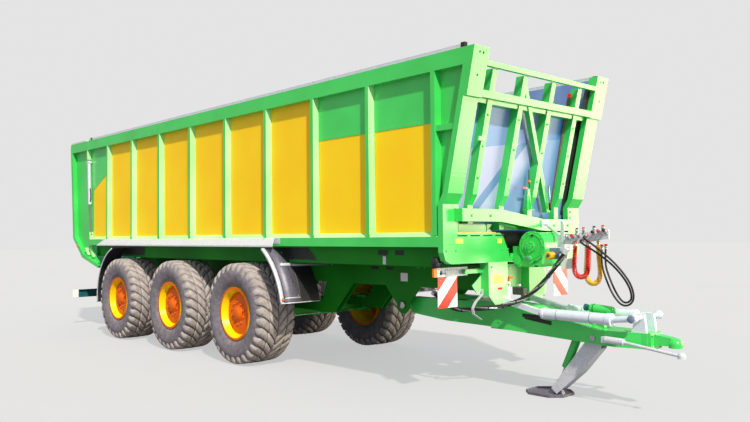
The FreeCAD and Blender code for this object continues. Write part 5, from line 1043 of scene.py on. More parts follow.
def hose_bundle():
    """Seven hoses laid up with a slow twist and tied at intervals, from the rail to the holder."""
    line = route_line(HOSE_BUNDLE_ROUTE)
    long = line_length(line)
    turns = long / 0.62
    strands = [tube("core_hose", winding(line, 0.0, turns, 24), 0.0082, HOSE_RUBBER)]
    for i in range(6):
        finish = BRAIDED_SLEEVE if i in (1, 4) else HOSE_RUBBER
        strands.append(tube("hose", winding(line, 0.0163, turns, 24, math.tau * i / 6), 0.0082, finish))
    bundle = joined("hose_bundle_strands", strands)
    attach(bundle, "root")
    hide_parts("hose_bundle")
    bands = []
    band = [(-0.007, 0.0236), (-0.007, 0.0256), (0.007, 0.0256), (0.007, 0.0236)]
    places = stations(line, 13)
    for place, along, side, _ in places[1:-1]:
        bands.append(turned("tie_band", band, place, along, MOULDED_BLACK, 24))
        head = place + side * 0.026
        latch = [(-0.006, 0.0), (-0.006, 0.005), (0.0, 0.0055), (0.0, 0.0)]
        bands.append(turned("tie_latch", latch, head, side, MOULDED_BLACK, 8))
    ties = joined("hose_bundle_ties", bands)
    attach(ties, "root")


def pressure_hoses():
    """Two black hydraulic hoses that hang in a loop from the holder."""
    for which, route in PRESSURE_HOSE_ROUTES.items():
        hose = route_curve(f"pressure_hose_{which}", route)
        hose.data.bevel_depth = PRESSURE_HOSE_DIAMETER / 2
        hose.data.bevel_resolution = 4
        hose.data.use_fill_caps = True
        hose.data.materials.append(HOSE_RUBBER)
        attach(hose, "root")
        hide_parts("pressure_hoses")
        line = route_line(route)
        fittings(f"pressure_hose_{which}_couplers", line, CAP_RED)


def air_coils():
    """The red and the yellow coiled air line, each one tube wound on its hanging loop."""
    radius = (AIR_COIL_DIAMETER - AIR_TUBE_DIAMETER) / 2
    for colour, route, finish in (
        ("red", AIR_HOSE_RED_ROUTE, AIR_RED),
        ("yellow", AIR_HOSE_YELLOW_ROUTE, AIR_YELLOW),
    ):
        line = route_line(route)
        turns = round(line_length(line) / AIR_COIL_PITCH)
        helix = winding(line, radius, turns, 16)
        coil = tube(f"air_coil_{colour}", helix, AIR_TUBE_DIAMETER / 2, finish)
        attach(coil, "root")
        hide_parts(f"air_hose_{colour}")
        fittings(f"air_coil_{colour}_couplers", line, finish)


# --- wheels' middles ----------------------------------------------------------------------

BOSS_FACE_Y = 1.350
BOSS_NUTS = 10
NUT_CIRCLE = 0.150


def dress_wheel_middles():
    """Hub cap, step, ring of nuts and valve on each wheel's disc."""
    for place, side in WHEELS:
        hand = -1 if side == "right" else 1
        low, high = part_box(f"rim_{place}_{side}")
        middle = ((low.x + high.x) / 2, 0, (low.z + high.z) / 2)
        cap = [
            (0.0005, 0.058), (0.0005, 0.104), (0.008, 0.104), (0.012, 0.098), (0.012, 0.082), (0.034, 0.076)
        ]
        cap += [(0.040, 0.068), (0.041, 0.0), (0.036, 0.0), (0.030, 0.058)]
        hub = lathe("hub_cap", [(hand * (BOSS_FACE_Y + y), r) for y, r in cap], RIM_ORANGE, 40, middle)
        edge = [(0.0, 0.236), (0.0, 0.250), (0.010, 0.246), (0.010, 0.240)]
        step_outline = [(hand * (BOSS_FACE_Y - 0.020 + y), r) for y, r in edge]
        step = lathe("disc_step", step_outline, RIM_ORANGE, 64, middle)
        nut_outline = [(0.0, 0.0), (0.0, 0.014), (0.013, 0.014), (0.016, 0.011), (0.016, 0.0)]
        stud_outline = [(0.015, 0.0), (0.015, 0.007), (0.024, 0.007), (0.024, 0.0)]
        one = [
            turned("nut", nut_outline, (0, 0, NUT_CIRCLE), (0, 1, 0), RIM_ORANGE, 6),
            turned("stud", stud_outline, (0, 0, NUT_CIRCLE), (0, 1, 0), RIM_ORANGE, 8),
        ]
        nuts = ring(one, BOSS_NUTS, RIM_ORANGE)
        if hand < 0:
            nuts.data.transform(Matrix.Rotation(math.pi, 4, "Z"))
        nuts.data.transform(Matrix.Translation((middle[0], hand * (BOSS_FACE_Y + 0.0005), middle[2])))
        valve_foot = Vector((middle[0] + 0.262, hand * (BOSS_FACE_Y - 0.012), middle[2]))
        valve_tip = valve_foot + Vector((0.010, hand * 0.045, 0))
        valve = pipe("valve", valve_foot, valve_tip, 0.0055, MOULDED_BLACK, 10)
        fitted(
            f"wheel_middle_{place}_{side}", [hub, step, nuts, valve], f"wheel_{place}_{side}"
        )


# --- fenders ------------------------------------------------------------------------------

FRONT_FENDER_RADIUS = 1.090
REAR_FENDER_RADIUS = 0.900
FENDER_SPLIT_Y = 1.100
FENDER_OUTER_Y = 1.409
FENDER_INNER_Y = 0.801
FRONT_FENDER_FROM = 10
FRONT_FENDER_TO = 54
REAR_FENDER_FROM = 108
REAR_FENDER_TO = 187
FRONT_CARRIER_Z = 1.345
FRONT_CARRIER_RISE = 0.665
REAR_CARRIER_Z = 1.150
REAR_CARRIER_RISE = 0.470


def arc_strip(name, outline, axle_x, radius, start_angle, end_angle, finish, steps=28):
    """A (y, rise) outline swept round an axle between two angles from forward upwards, in degrees."""
    corners, faces = [], []
    count = len(outline)
    for i in range(steps + 1):
        a = math.radians(start_angle + (end_angle - start_angle) * i / steps)
        for y, rise in outline:
            reach = radius + rise
            corners.append((axle_x + reach * math.cos(a), y, AXLE_Z + reach * math.sin(a)))
    for i in range(steps):
        for k in range(count):
            n = (k + 1) % count
            a, b = i * count, (i + 1) * count
            faces.append((a + k, b + k, b + n, a + n))
    faces.append(tuple(range(count)))
    faces.append(tuple(reversed(range(steps * count, (steps + 1) * count))))
    shape = made(name, corners, faces, finish, smooth=True)
    tidy(shape.data, 35)
    return shape


def corrugated(y0, y1, waves, height, thickness):
    """Outline of a sheet whose corrugations run along the sweep."""
    top, bottom = [], []
    for i in range(waves * 2 + 1):
        y = y0 + (y1 - y0) * i / (waves * 2)
        rise = -0.0005 if i % 2 == 0 else -height
        top.append((y, rise))
        bottom.append((y, rise - thickness))
    return top + bottom[::-1]


def carrier_bar(name, x, z, inner_y, outer_y, finish):
    """Part of the round bar that carries a fender."""
    return pipe(name, (x, inner_y, z), (x, outer_y, z), 0.024, finish)


def front_fender():
    """Galvanised strip with a rolled rim over the tyre's outer half, black corrugated sheet inside."""
    x = AXLE_X + AXLE_PITCH
    edge = [(1.360, -0.0055), (1.360, -0.0005), (1.372, 0.0), (1.400, 0.0), (FENDER_OUTER_Y, -0.004)]
    edge += [(FENDER_OUTER_Y, -0.030), (1.404, -0.030), (1.404, -0.0055)]
    strip = [(FENDER_SPLIT_Y, -0.006), (FENDER_SPLIT_Y, 0.0), (1.348, 0.0), (1.348, -0.006)]
    # Painted shade: the groove between the rolled rim and the strip is a dark sheet.
    groove = [(1.347, -0.012), (1.347, -0.006), (1.361, -0.006), (1.361, -0.012)]
    inner = corrugated(FENDER_INNER_Y, FENDER_SPLIT_Y, 9, 0.006, 0.005)
    shapes = [
        arc_strip("fender_sheet", outline, x, FRONT_FENDER_RADIUS, FRONT_FENDER_FROM, end, finish)
        for outline, end, finish in (
            (edge, FRONT_FENDER_TO, GALVANISED),
            (strip, FRONT_FENDER_TO, FENDER_STEEL),
            (groove, FRONT_FENDER_TO, MOULDED_BLACK),
            (inner, 38, MOULDED_BLACK),
        )
    ]
    # Painted shade: dark patches for the slots in the strip.
    slot = [(1.168, 0.0), (1.168, 0.0012), (1.180, 0.0012), (1.180, 0.0)]
    bar = [(FENDER_SPLIT_Y + 0.004, 0.0), (FENDER_SPLIT_Y + 0.004, 0.004), (1.340, 0.004), (1.340, 0.0)]
    hem_end = FENDER_OUTER_Y - 0.002
    hem = [(FENDER_INNER_Y, 0.0), (FENDER_INNER_Y, 0.003), (hem_end, 0.003), (hem_end, 0.0)]
    shapes += [
        arc_strip("fender_trim", outline, x, FRONT_FENDER_RADIUS, start, end, finish, steps)
        for outline, start, end, finish, steps in (
            (slot, 26.5 - 2.6, 26.5 + 2.6, MOULDED_BLACK, 4),
            (slot, 33.5 - 2.6, 33.5 + 2.6, MOULDED_BLACK, 4),
            (bar, 13.2, 14.0, GALVANISED, 2),
            (hem, 10.0, 10.6, GALVANISED, 2),
        )
    ]
    z = FRONT_CARRIER_Z
    carrier_x = x + math.sqrt(FRONT_FENDER_RADIUS**2 - FRONT_CARRIER_RISE**2) + 0.012
    shapes.append(carrier_bar("carrier_inner", carrier_x, z, RAIL_FACE_Y, 1.110, ZINC_PLATE))
    shapes.append(carrier_bar("carrier_outer", carrier_x, z, 1.108, 1.289, GALVANISED))
    for y in (1.128, 1.262):
        shapes += bolt((carrier_x, y, z + 0.0235), (0, 0, 1), 0.010)
    for angle, y in ((49, 1.14), (49, 1.30), (14.9, 1.13), (14.9, 1.31)):
        a = math.radians(angle)
        out = Vector((math.cos(a), 0, math.sin(a)))
        shapes += bolt(Vector((x, y, AXLE_Z)) + out * FRONT_FENDER_RADIUS, out, 0.009)
    return shapes


def rear_fender():
    """Black sheet round the back of the rear tyre with a pale rolled rim."""
    x = AXLE_X - AXLE_PITCH
    edge = [(1.388, -0.0055), (1.388, -0.0005), (1.392, 0.0), (FENDER_OUTER_Y, -0.002)]
    edge += [(FENDER_OUTER_Y, -0.026), (1.404, -0.026), (1.404, -0.0055)]
    outer = corrugated(FENDER_SPLIT_Y, 1.388, 6, 0.005, 0.005)
    inner = corrugated(FENDER_INNER_Y, FENDER_SPLIT_Y, 8, 0.005, 0.005)
    shapes = [
        arc_strip("fender_sheet", outline, x, REAR_FENDER_RADIUS, start, REAR_FENDER_TO, finish, steps)
        for outline, start, finish, steps in (
            (edge, REAR_FENDER_FROM, GALVANISED, 40),
            (outer, REAR_FENDER_FROM, MOULDED_BLACK, 40),
            (inner, 131, MOULDED_BLACK, 32),
        )
    ]
    z = REAR_CARRIER_Z
    carrier_x = x - math.sqrt(REAR_FENDER_RADIUS**2 - REAR_CARRIER_RISE**2) - 0.012
    shapes.append(carrier_bar("carrier", carrier_x, z, RAIL_FACE_Y, 1.289, GALVANISED))
    for y in (1.12, 1.25):
        shapes += bolt((carrier_x, y, z + 0.0235), (0, 0, 1), 0.010)
    return shapes


def fender_lamp():
    """Amber side marker at the fender's lower outer corner."""
    a = math.radians(12.6)
    out = Vector((math.cos(a), 0, math.sin(a)))
    place = Vector((AXLE_X + AXLE_PITCH, 1.378, AXLE_Z)) + out * (FRONT_FENDER_RADIUS - 0.0005)
    base = [(0.0, 0.0), (0.0, 0.022), (0.006, 0.022), (0.006, 0.0)]
    lens = [(0.0055, 0.0), (0.0055, 0.019), (0.014, 0.017), (0.019, 0.010), (0.020, 0.0)]
    return [
        turned("marker_base", base, place, out, MOULDED_BLACK, 24),
        turned("marker_lens", lens, place, out, AMBER_LENS, 24),
    ]


def dress_fenders():
    """Front and rear fenders of both sides as one piece, which stands for the plain CAD arches."""
    shapes = both(front_fender() + rear_fender() + fender_lamp())
    fitted("fender_sheets", shapes, "root", ["fenders"])


# --- headboard, push wall and console -----------------------------------------------------

FOOT_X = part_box("front_console")[1].x
KINK_Z = 2.127
KINK_X = FOOT_X + 0.068
LEAN = 0.230
WALL_BACK = 0.130
STRIP_FOOT_Z = 1.985
STRIP_FOOT_Y = 0.787
STRIP_SLANT = 0.0381


def lean_x(z):
    """X of the plane in which the posts and the push wall lean."""
    return KINK_X + LEAN * (z - KINK_Z)


def leaning(name, y0, y1, z0, z1, ahead, depth, finish):
    """A bar in the leaning plane; ahead is its back face's place in front of the plane."""
    outline = [
        (lean_x(z0) + ahead, z0),
        (lean_x(z0) + ahead + depth, z0),
        (lean_x(z1) + ahead + depth, z1),
        (lean_x(z1) + ahead, z1),
    ]
    return slab(name, outline, "y", y0, y1, finish)


def dress_push_wall():
    """Seam strip with its red head, a dark strip of painted shade by the far post, rib lug, level rod and
    bolts on the push-off wall.
    """
    shapes = [
        leaning("edge_strip", -0.038, 0.038, STRIP_FOOT_Z, 3.290, -WALL_BACK + 0.012, 0.010, BROWN_RUBBER),
        leaning("edge_strip_head", -0.036, 0.036, 3.292, 3.345, -WALL_BACK + 0.012, 0.012, CAP_RED),
    ]
    for strip in shapes:
        for corner in strip.data.vertices:
            corner.co.y += STRIP_FOOT_Y - STRIP_SLANT * (corner.co.z - STRIP_FOOT_Z)
    shapes += [
        # Painted shade: a dark strip for the dark gap by the far post; the rib lug is in the painted
        # highlight green.
        leaning("side_painted_shade_strip", 0.985, 1.125, 1.950, 3.120, -WALL_BACK + 0.012, 0.008, BELT_RUBBER),
        leaning("rib_lug", -0.900, -0.795, 2.672, 2.716, -0.023, 0.020, GREEN_PAINTED_HIGHLIGHT),
    ]
    foot = (lean_x(1.990), 0.585, 1.990)
    head = (lean_x(2.260), 0.470, 2.260)
    shapes.append(pipe("level_rod", foot, head, 0.010, CHROME))
    shapes.append(pipe("level_sleeve", foot, Vector(foot).lerp(Vector(head), 0.3), 0.014, MOULDED_BLACK))
    for y in (-0.795, -0.265, 0.265, 0.795):
        for z in (2.30, 2.62, 2.94):
            shapes += bolt((lean_x(z) - 0.0235, y, z), (1, 0, -LEAN), 0.011, GREEN)
    fitted("push_wall_fittings", shapes, "push_wall")


def level_indicator():
    """Wall position pointer on the front beam: post, needle, orange bead and red mark."""
    x = FOOT_X + 0.060
    needle_x = x + 0.010
    post = [(0.095, 1.983), (0.165, 1.983), (0.150, 2.235), (0.110, 2.235)]
    rib = [(x, 1.983), (x + 0.038, 1.983), (x, 2.200)]
    bead = [(-0.014, 0.0), (-0.014, 0.012), (-0.007, 0.017), (0.007, 0.017), (0.014, 0.012), (0.014, 0.0)]
    return [
        block("post_foot", (x - 0.040, 0.060, 1.976), (x + 0.040, 0.190, 1.984), GREEN),
        slab("post", post, "x", x - 0.006, x + 0.006, GREEN),
        slab("post_rib", rib, "y", 0.127, 0.133, GREEN),
        pipe("needle", (needle_x, 0.130, 2.215), (needle_x, 0.130, 2.430), 0.006, MOULDED_BLACK, 12),
        turned("bead", bead, (needle_x, 0.130, 2.300), (0, 0, 1), AMBER_LENS, 20),
        block("mark_arm", (x - 0.003, 0.085, 2.220), (x + 0.003, 0.128, 2.230), GREEN),
        block("mark", (x - 0.005, 0.020, 2.214), (x + 0.005, 0.090, 2.238), CAP_RED),
    ]


def headboard_fittings():
    """Seam strips in the painted highlight green, a slot and holes in painted shade, and bolts on the posts
    and the front beam.
    """
    shapes = []
    # Painted highlight: thin pale strips across the posts.
    for y0, y1 in ((-1.249, -1.020), (1.020, 1.249)):
        for z in (2.296, 2.342):
            shapes.append(leaning("post_seam", y0, y1, z, z + 0.006, 0.0003, 0.003, GREEN_PAINTED_HIGHLIGHT))
    # Painted shade: a dark plate in the gap between the far rib and the ladder plate.
    shapes.append(leaning("far_slot_painted_shade", 0.900, 1.0195, 3.190, 3.400, -0.030, 0.006, BELT_RUBBER))
    # Painted shade: dark discs for the holes in the posts' top plates.
    for y, z in ((1.155, 3.500), (1.100, 3.496), (1.140, 3.280)):
        for hand in (-1, 1):
            near = Vector((lean_x(z) + 0.004, hand * y, z))
            shapes.append(pipe("hole_painted_shade", near, near + Vector((0.004, 0, 0)), 0.0125, MOULDED_BLACK, 16))
    for y in (-0.93, -0.62, 0.55, 0.84):
        drop = 0.0 if y < 0 else -0.100
        shapes += bolt((FOOT_X + 0.1101, y, 1.905 + drop), (1, 0, 0), 0.013, GREEN)
    for y in (-1.06, 1.06):
        for z in (1.90, 1.97):
            shapes += bolt((FOOT_X + 0.0003, y, z), (1, 0, 0), 0.013, GREEN)
    return shapes


SLOT_LENGTH = 0.160


def console_fittings():
    """Blank labels, the orange line, dark backs of painted shade behind the slots and the row of bolts on
    the console.
    """
    x = FOOT_X + 0.0003
    shapes = [
        block("orange_line", (x, -1.030, 1.7235), (x + 0.0012, -0.400, 1.7330), AMBER_PAINT, 0),
        # Painted shade: a thin dark line for the groove.
        block("groove", (x, -0.950, 1.8110), (x + 0.0010, -0.620, 1.8150), MOULDED_BLACK, 0),
        block("leg_label", (x, -0.455, 1.172), (x + 0.0012, -0.270, 1.272), LABEL_YELLOW, 0),
        block("corner_label", (x, -0.372, 1.612), (x + 0.0012, -0.296, 1.662), LABEL_YELLOW, 0),
        block("near_label", (x, -1.060, 1.619), (x + 0.0012, -0.945, 1.667), LABEL_YELLOW, 0),
        block("far_label", (x, 0.300, 1.560), (x + 0.0012, 0.400, 1.640), LABEL_WHITE, 0),
        block("red_tag", (x, -0.381, 1.110), (x + 0.0040, -0.300, 1.134), CAP_RED),
        # The gusset is in the painted highlight green.
        slab("gusset", [(-0.560, 1.8195), (-0.470, 1.8195), (-0.560, 1.735)], "x", x, x + 0.006, GREEN_PAINTED_HIGHLIGHT),
    ]
    # Painted shade: dark backs behind the slots.
    for y in (0.250, 0.457, 0.667, 0.875):
        for hand in (-1, 1):
            y0, y1 = sorted((hand * y, hand * (y + SLOT_LENGTH)))
            low = (FOOT_X - 0.012, y0 - 0.004, 1.686)
            high = (FOOT_X - 0.0083, y1 + 0.004, 1.709)
            shapes.append(block("slot_back", low, high, MOULDED_BLACK, 0))
    for hand in (-1, 1):
        for y in (1.205, 1.060, 0.300, 0.190):
            shapes += bolt((x, hand * y, 1.545), (1, 0, 0), 0.010, GREEN)
        for z in (1.000, 1.360):
            shapes += bolt((x, hand * 0.485, z), (1, 0, 0), 0.012, GREEN)
            shapes += bolt((x, hand * 0.190, z), (1, 0, 0), 0.012, GREEN)
    return shapes


WINCH = Vector((4.198, -0.118, 1.575))
FLANGE_BOLT_CIRCLE = 0.152
COVER_BOLT_CIRCLE = 0.050


def winch_fittings():
    """Flange bolts, vent, rim and shaft end on the belt's gearbox."""
    x, y, z = WINCH
    rim = [(-0.0005, 0.120), (-0.0030, 0.120), (-0.0030, 0.138), (-0.0005, 0.138)]
    vent = WINCH + Vector((0.010, 0.0135, 0.118))
    shaft = Vector((x - 0.025, -0.1635, z - 0.130))
    shapes = []
    cover = WINCH + Vector((-0.018, -0.020, -0.006))
    for centre, circle, count, turn, size, finish in (
        (WINCH, FLANGE_BOLT_CIRCLE, 10, 0.0, 0.009, GREEN),
        (cover, COVER_BOLT_CIRCLE, 6, 0.3, 0.007, ZINC_PLATE),
    ):
        for i in range(count):
            angle = math.tau * i / count + turn
            out = Vector((math.cos(angle), 0, math.sin(angle)))
            shapes += bolt(centre + out * circle, (0, -1, 0), size, finish)
    return shapes + [
        pipe("vent", vent, vent - Vector((0, 0.0255, 0)), 0.014, MOULDED_BLACK),
        pipe("shaft_end", shaft, shaft - Vector((0, 0.0125, 0)), 0.024, STEEL_BLUE),
        # Painted shade: a flat dark patch for the slot in the gearbox base.
        block(
            "base_slot", (x + 0.020, -0.099, z - 0.222), (x + 0.064, -0.0975, z - 0.205), MOULDED_BLACK, 0
        ),
        lathe("disc_rim", [(y + reach, r) for reach, r in rim], GREEN, 64, (x, 0, z)),
    ]


HOLDER_FACE_Y = -0.0425
HOLDER_REAR = (4.468, 1.585)
HOLDER_SLOPE = 0.149
RAIL_SLOPE = 0.0866
ROLL_PLACE = (4.455, 1.480)


def holder_z(x, above):
    """A height above the hose holder's sloping lower edge."""
    return HOLDER_REAR[1] + (x - HOLDER_REAR[0]) * HOLDER_SLOPE + above


def holder_fittings():
    """Silver upright, parked couplers, blank plate, strap roll and caps on the hose holder."""
    front = HOLDER_FACE_Y
    upright = [(4.515, 1.500), (4.560, 1.500), (4.560, 1.800), (4.545, 1.845), (4.515, 1.845)]
    plate = [(4.520, 1.330), (4.655, 1.345), (4.655, 1.450), (4.520, 1.450)]
    strap = [(4.560, 1.440), (4.600, 1.440), (4.600, 1.600), (4.560, 1.600)]
    shapes = [
        slab("upright", upright, "y", front - 0.007, front, GALVANISED),
        slab("blank_plate", plate, "y", front - 0.016, front - 0.012, LABEL_WHITE),
        slab("plate_strap", strap, "y", front - 0.0125, front - 0.0035, GALVANISED),
    ]
    body = [(0.0, 0.0), (0.0, 0.019), (0.014, 0.019), (0.016, 0.015), (0.030, 0.015), (0.032, 0.018)]
    body += [(0.052, 0.018), (0.056, 0.013), (0.068, 0.013), (0.068, 0.0)]
    cap = [(0.0675, 0.0), (0.0675, 0.017), (0.086, 0.017), (0.090, 0.013), (0.090, 0.0)]
    outwards = Vector((0.35, -1, 0.25))
    for x, tip in (
        (4.600, ZINC_PLATE),
        (4.665, CAP_RED),
        (4.730, ZINC_PLATE),
        (4.905, MOULDED_BLACK),
        (4.970, CAP_RED),
        (5.030, MOULDED_BLACK),
    ):
        place = Vector((x, front, holder_z(x, 0.055)))
        shapes.append(turned("parked_coupler", body, place, outwards, ZINC_PLATE, 16))
        shapes.append(turned("parked_cap", cap, place, outwards, tip, 16))
    stub = [(-0.010, 0.0), (-0.010, 0.013), (0.018, 0.013), (0.020, 0.016), (0.040, 0.016), (0.044, 0.012)]
    stub += [(0.044, 0.0)]
    cap = [(0.0435, 0.0), (0.0435, 0.014), (0.058, 0.014), (0.060, 0.0)]
    upwards = (0.1, 0, 1)
    for x, tip in ((4.700, MOULDED_BLACK), (4.780, CAP_RED), (4.900, MOULDED_BLACK), (5.000, CAP_RED)):
        place = (x, -0.036, 1.7085 + (x - 4.700) * RAIL_SLOPE)
        shapes.append(turned("rail_coupler", stub, place, upwards, ZINC_PLATE, 16))
        shapes.append(turned("rail_cap", cap, place, upwards, tip, 16))
    x, z = ROLL_PLACE
    turn = [(-0.008, 0.018), (-0.008, 0.040), (0.008, 0.040), (0.008, 0.018)]
    strap_turn = turned("strap_turn", turn, (x, -0.120, z), (0, 1, 0), AIR_YELLOW, 28)
    shapes.append(row([strap_turn], 5, (0.0, -0.018, 0.0), AIR_YELLOW))
    shapes.append(pipe("roll_core", (x, -0.046, z), (x, -0.205, z), 0.0175, DARK_STEEL))
    shapes.append(block("roll_block", (4.400, -0.090, 1.440), (4.520, -0.044, 1.560), STEEL_BLUE, 0.004))
    for x in (4.62, 5.05):
        shapes += bolt((x, front, holder_z(x, 0.030)), (0, -1, 0), 0.009)
    return shapes


def filter_fittings():
    """Sensor, inlet, cap, drain and valve at the brake line's filter."""
    x, y = 3.913, -0.174
    sensor = [(0.0, 0.0), (0.0, 0.014), (0.020, 0.014), (0.026, 0.009), (0.026, 0.0)]
    cap = Vector((x + 0.020, y + 0.022, 1.2225))
    return [
        turned("pressure_sensor", sensor, (x + 0.018, y - 0.018, 1.196), (0, 0, 1), CAP_RED, 16),
        pipe("filter_inlet", (x, y - 0.015, 1.163), (x + 0.048, y - 0.020, 1.163), 0.009, ZINC_PLATE, 12),
        pipe("filter_cap", cap, cap + Vector((0, 0, 0.0235)), 0.034, AMBER_LENS, 24),
        block("drain_valve", (3.9675, -0.165, 1.046), (4.110, -0.095, 1.128), MOULDED_BLACK, 0.004),
        pipe("drain_coil", (4.030, -0.130, 1.127), (4.030, -0.130, 1.160), 0.020, ZINC_PLATE, 20),
        pipe("bowl_drain", (x, y, 0.9855), (x, y, 0.972), 0.010, ZINC_PLATE, 12),
    ]


def dress_front():
    """The fittings that don't move, on the headboard and on the hose holder."""
    shapes = level_indicator() + headboard_fittings() + console_fittings() + winch_fittings()
    fitted("headboard_fittings", shapes, "root")
    fitted("hose_holder_fittings", holder_fittings() + filter_fittings(), "root")


# --- boards, lamps and labels -------------------------------------------------------------

BRACKET_FACE_X = 3.8073


def dress_boards():
    """Lenses and rims of the round lamps, dark discs of painted shade for the brackets' holes, and the
    brackets' bolts.
    """
    shapes = []
    for hand in (-1, 1):
        x, y, z = 3.823, hand * 1.196, 1.427
        lens = [(0.0, 0.0), (0.0, 0.046), (0.003, 0.044), (0.007, 0.030), (0.009, 0.0)]
        rim = [(-0.004, 0.047), (-0.004, 0.0565), (0.004, 0.0565), (0.004, 0.047)]
        shapes.append(turned("lamp_lens", lens, (x, y, z), (1, 0, 0), SMOKED_LENS, 32))
        shapes.append(turned("lamp_rim", rim, (x, y, z), (1, 0, 0), MOULDED_BLACK, 32))
        # Painted shade: dark discs for the holes in the bracket.
        hole_at = (BRACKET_FACE_X, hand * 0.90, 1.345)
        hole = pipe("small_hole", hole_at, (BOARD_FRONT_X, hand * 0.90, 1.345), 0.005, MOULDED_BLACK, 10)
        shapes.append(row([hole], 7, (0.0, hand * 0.030, 0.0), MOULDED_BLACK))
        for y_bolt in (0.765, 1.085):
            shapes += bolt((BRACKET_FACE_X, hand * y_bolt, 1.312), (1, 0, 0), 0.010)
        for y_bolt in (0.925, 1.155):
            shapes += bolt((3.7993, hand * y_bolt, 1.240), (1, 0, 0), 0.007)
    fitted("board_fittings", shapes, "root")


# --- body sides ---------------------------------------------------------------------------

FIRST_RIB_X = -4.192
RIB_PITCH = 1.0
RIB_COUNT = 9


def dress_sides():
    """Rail caps, slots in painted shade, splash flaps, bolts and the blank yellow mark along both sides."""
    shapes = [
        block("rail_cap_front", (4.190, 1.200, 3.6000), (4.2405, 1.2435, 3.6085), MOULDED_BLACK),
        block("rail_cap_face", (4.2385, 1.200, 3.5575), (4.2425, 1.2435, 3.6085), MOULDED_BLACK),
        block("rail_cap_side", (4.190, 1.2415, 3.5575), (4.2405, 1.2440, 3.6085), MOULDED_BLACK),
        block("rail_mark_rear", (-4.930, 1.2415, 3.560), (-4.870, 1.2440, 3.6065), MOULDED_BLACK),
        # Painted shade: flat dark patches for the slots in the side members.
        block("slot_painted_shade", (2.803, MEMBER_FACE_Y, 1.490), (2.965, 1.0918, 1.547), MOULDED_BLACK, 0),
        block("slot_painted_shade", (3.077, MEMBER_FACE_Y, 1.490), (3.216, 1.0918, 1.547), MOULDED_BLACK, 0),
        block("silver_strip", (2.883, MEMBER_FACE_Y, 1.385), (2.933, 1.0943, 1.476), GALVANISED),
        block("deflector_mark", (-2.430, 1.315, 1.6175), (-2.330, 1.325, 1.6185), LABEL_YELLOW, 0),
    ]
    front_flap = [
        (0.560, 1.412), (0.560, 1.560), (1.505, 1.562), (1.600, 1.505), (1.660, 1.450), (1.688, 1.412)
    ]
    rear_flap = [(-4.380, 1.412), (-4.300, 1.562), (-3.000, 1.562), (-3.000, 1.412)]
    for outline in (front_flap, rear_flap):
        shapes.append(
            slab("splash_flap", outline, "y", MEMBER_FACE_Y, MEMBER_FACE_Y + 0.0042, MOULDED_BLACK)
        )
    rib_bolts = []
    for x in (FIRST_RIB_X - 0.032, FIRST_RIB_X + 0.032):
        rib_bolts += bolt((x, 1.2503, 1.712), (0, 1, 0), 0.008, GREEN)
    shapes.append(row(rib_bolts, RIB_COUNT, (RIB_PITCH, 0.0, 0.0), GREEN))
    deflector_bolt = bolt((-4.20, 1.2535, 1.640), (0, 1, 0), 0.008)
    shapes.append(row(deflector_bolt, 6, (RIB_PITCH, 0.0, 0.0), ZINC_PLATE))
    fitted("side_fittings", both(shapes), "root")


# --- chassis and drawbar ------------------------------------------------------------------

TANK_PLACE = Vector((1.75, 0.0, 1.215))


def dress_chassis():
    """Air tank between the rails; slots in painted shade, blank plate, bolts, brake pipe and its clips along
    them.
    """
    shapes = []
    tank = [(-0.27, 0.0), (-0.265, 0.060), (-0.235, 0.098), (0.235, 0.098), (0.265, 0.060), (0.27, 0.0)]
    band = [(-0.012, 0.0985), (-0.012, 0.102), (0.012, 0.102), (0.012, 0.0985)]
    shapes.append(turned("air_tank", tank, TANK_PLACE, (0, 1, 0), GREEN, 40))
    for y in (-0.15, 0.15):
        shapes.append(turned("tank_band", band, TANK_PLACE + Vector((0, y, 0)), (0, 1, 0), GALVANISED, 40))
    for hand in (-1, 1):
        y = hand * RAIL_FACE_Y
        tank_end = TANK_PLACE + Vector((0, hand * 0.2695, 0))
        shapes.append(
            pipe("tank_end", tank_end, tank_end + Vector((0, hand * 0.0155, 0)), 0.018, CHROME, 16)
        )
        # Painted shade: flat dark patches for the slots in the rails.
        for x0, x1 in ((2.02, 2.16), (2.30, 2.42)):
            ys = sorted((y, y + hand * 0.0015))
            shapes.append(block("rail_slot", (x0, ys[0], 1.285), (x1, ys[1], 1.325), MOULDED_BLACK, 0))
        ys = sorted((y, y + hand * 0.003))
        shapes.append(block("blank_plate", (2.55, ys[0], 1.155), (2.67, ys[1], 1.255), LABEL_WHITE))
        for x in (-3.9, -2.1, -0.3, 1.2, 2.9):
            for reach in (-0.05, 0.05):
                shapes += bolt((x + reach, y, 1.33), (0, hand, 0), 0.011, GREEN)
        lines = [(-4.2, y + hand * 0.012, 1.350), (3.1, y + hand * 0.012, 1.350)]
        shapes.append(pipe("brake_pipe", lines[0], lines[1], 0.006, ZINC_PLATE, 8))
        ys = sorted((y, y + hand * 0.020))
        clip = block("pipe_clip", (-4.012, ys[0], 1.340), (-3.988, ys[1], 1.360), MOULDED_BLACK)
        shapes.append(row([clip], 12, (0.6, 0.0, 0.0), MOULDED_BLACK))
    fitted("chassis_fittings", shapes, "root")


RAM_SLOPE = 0.01


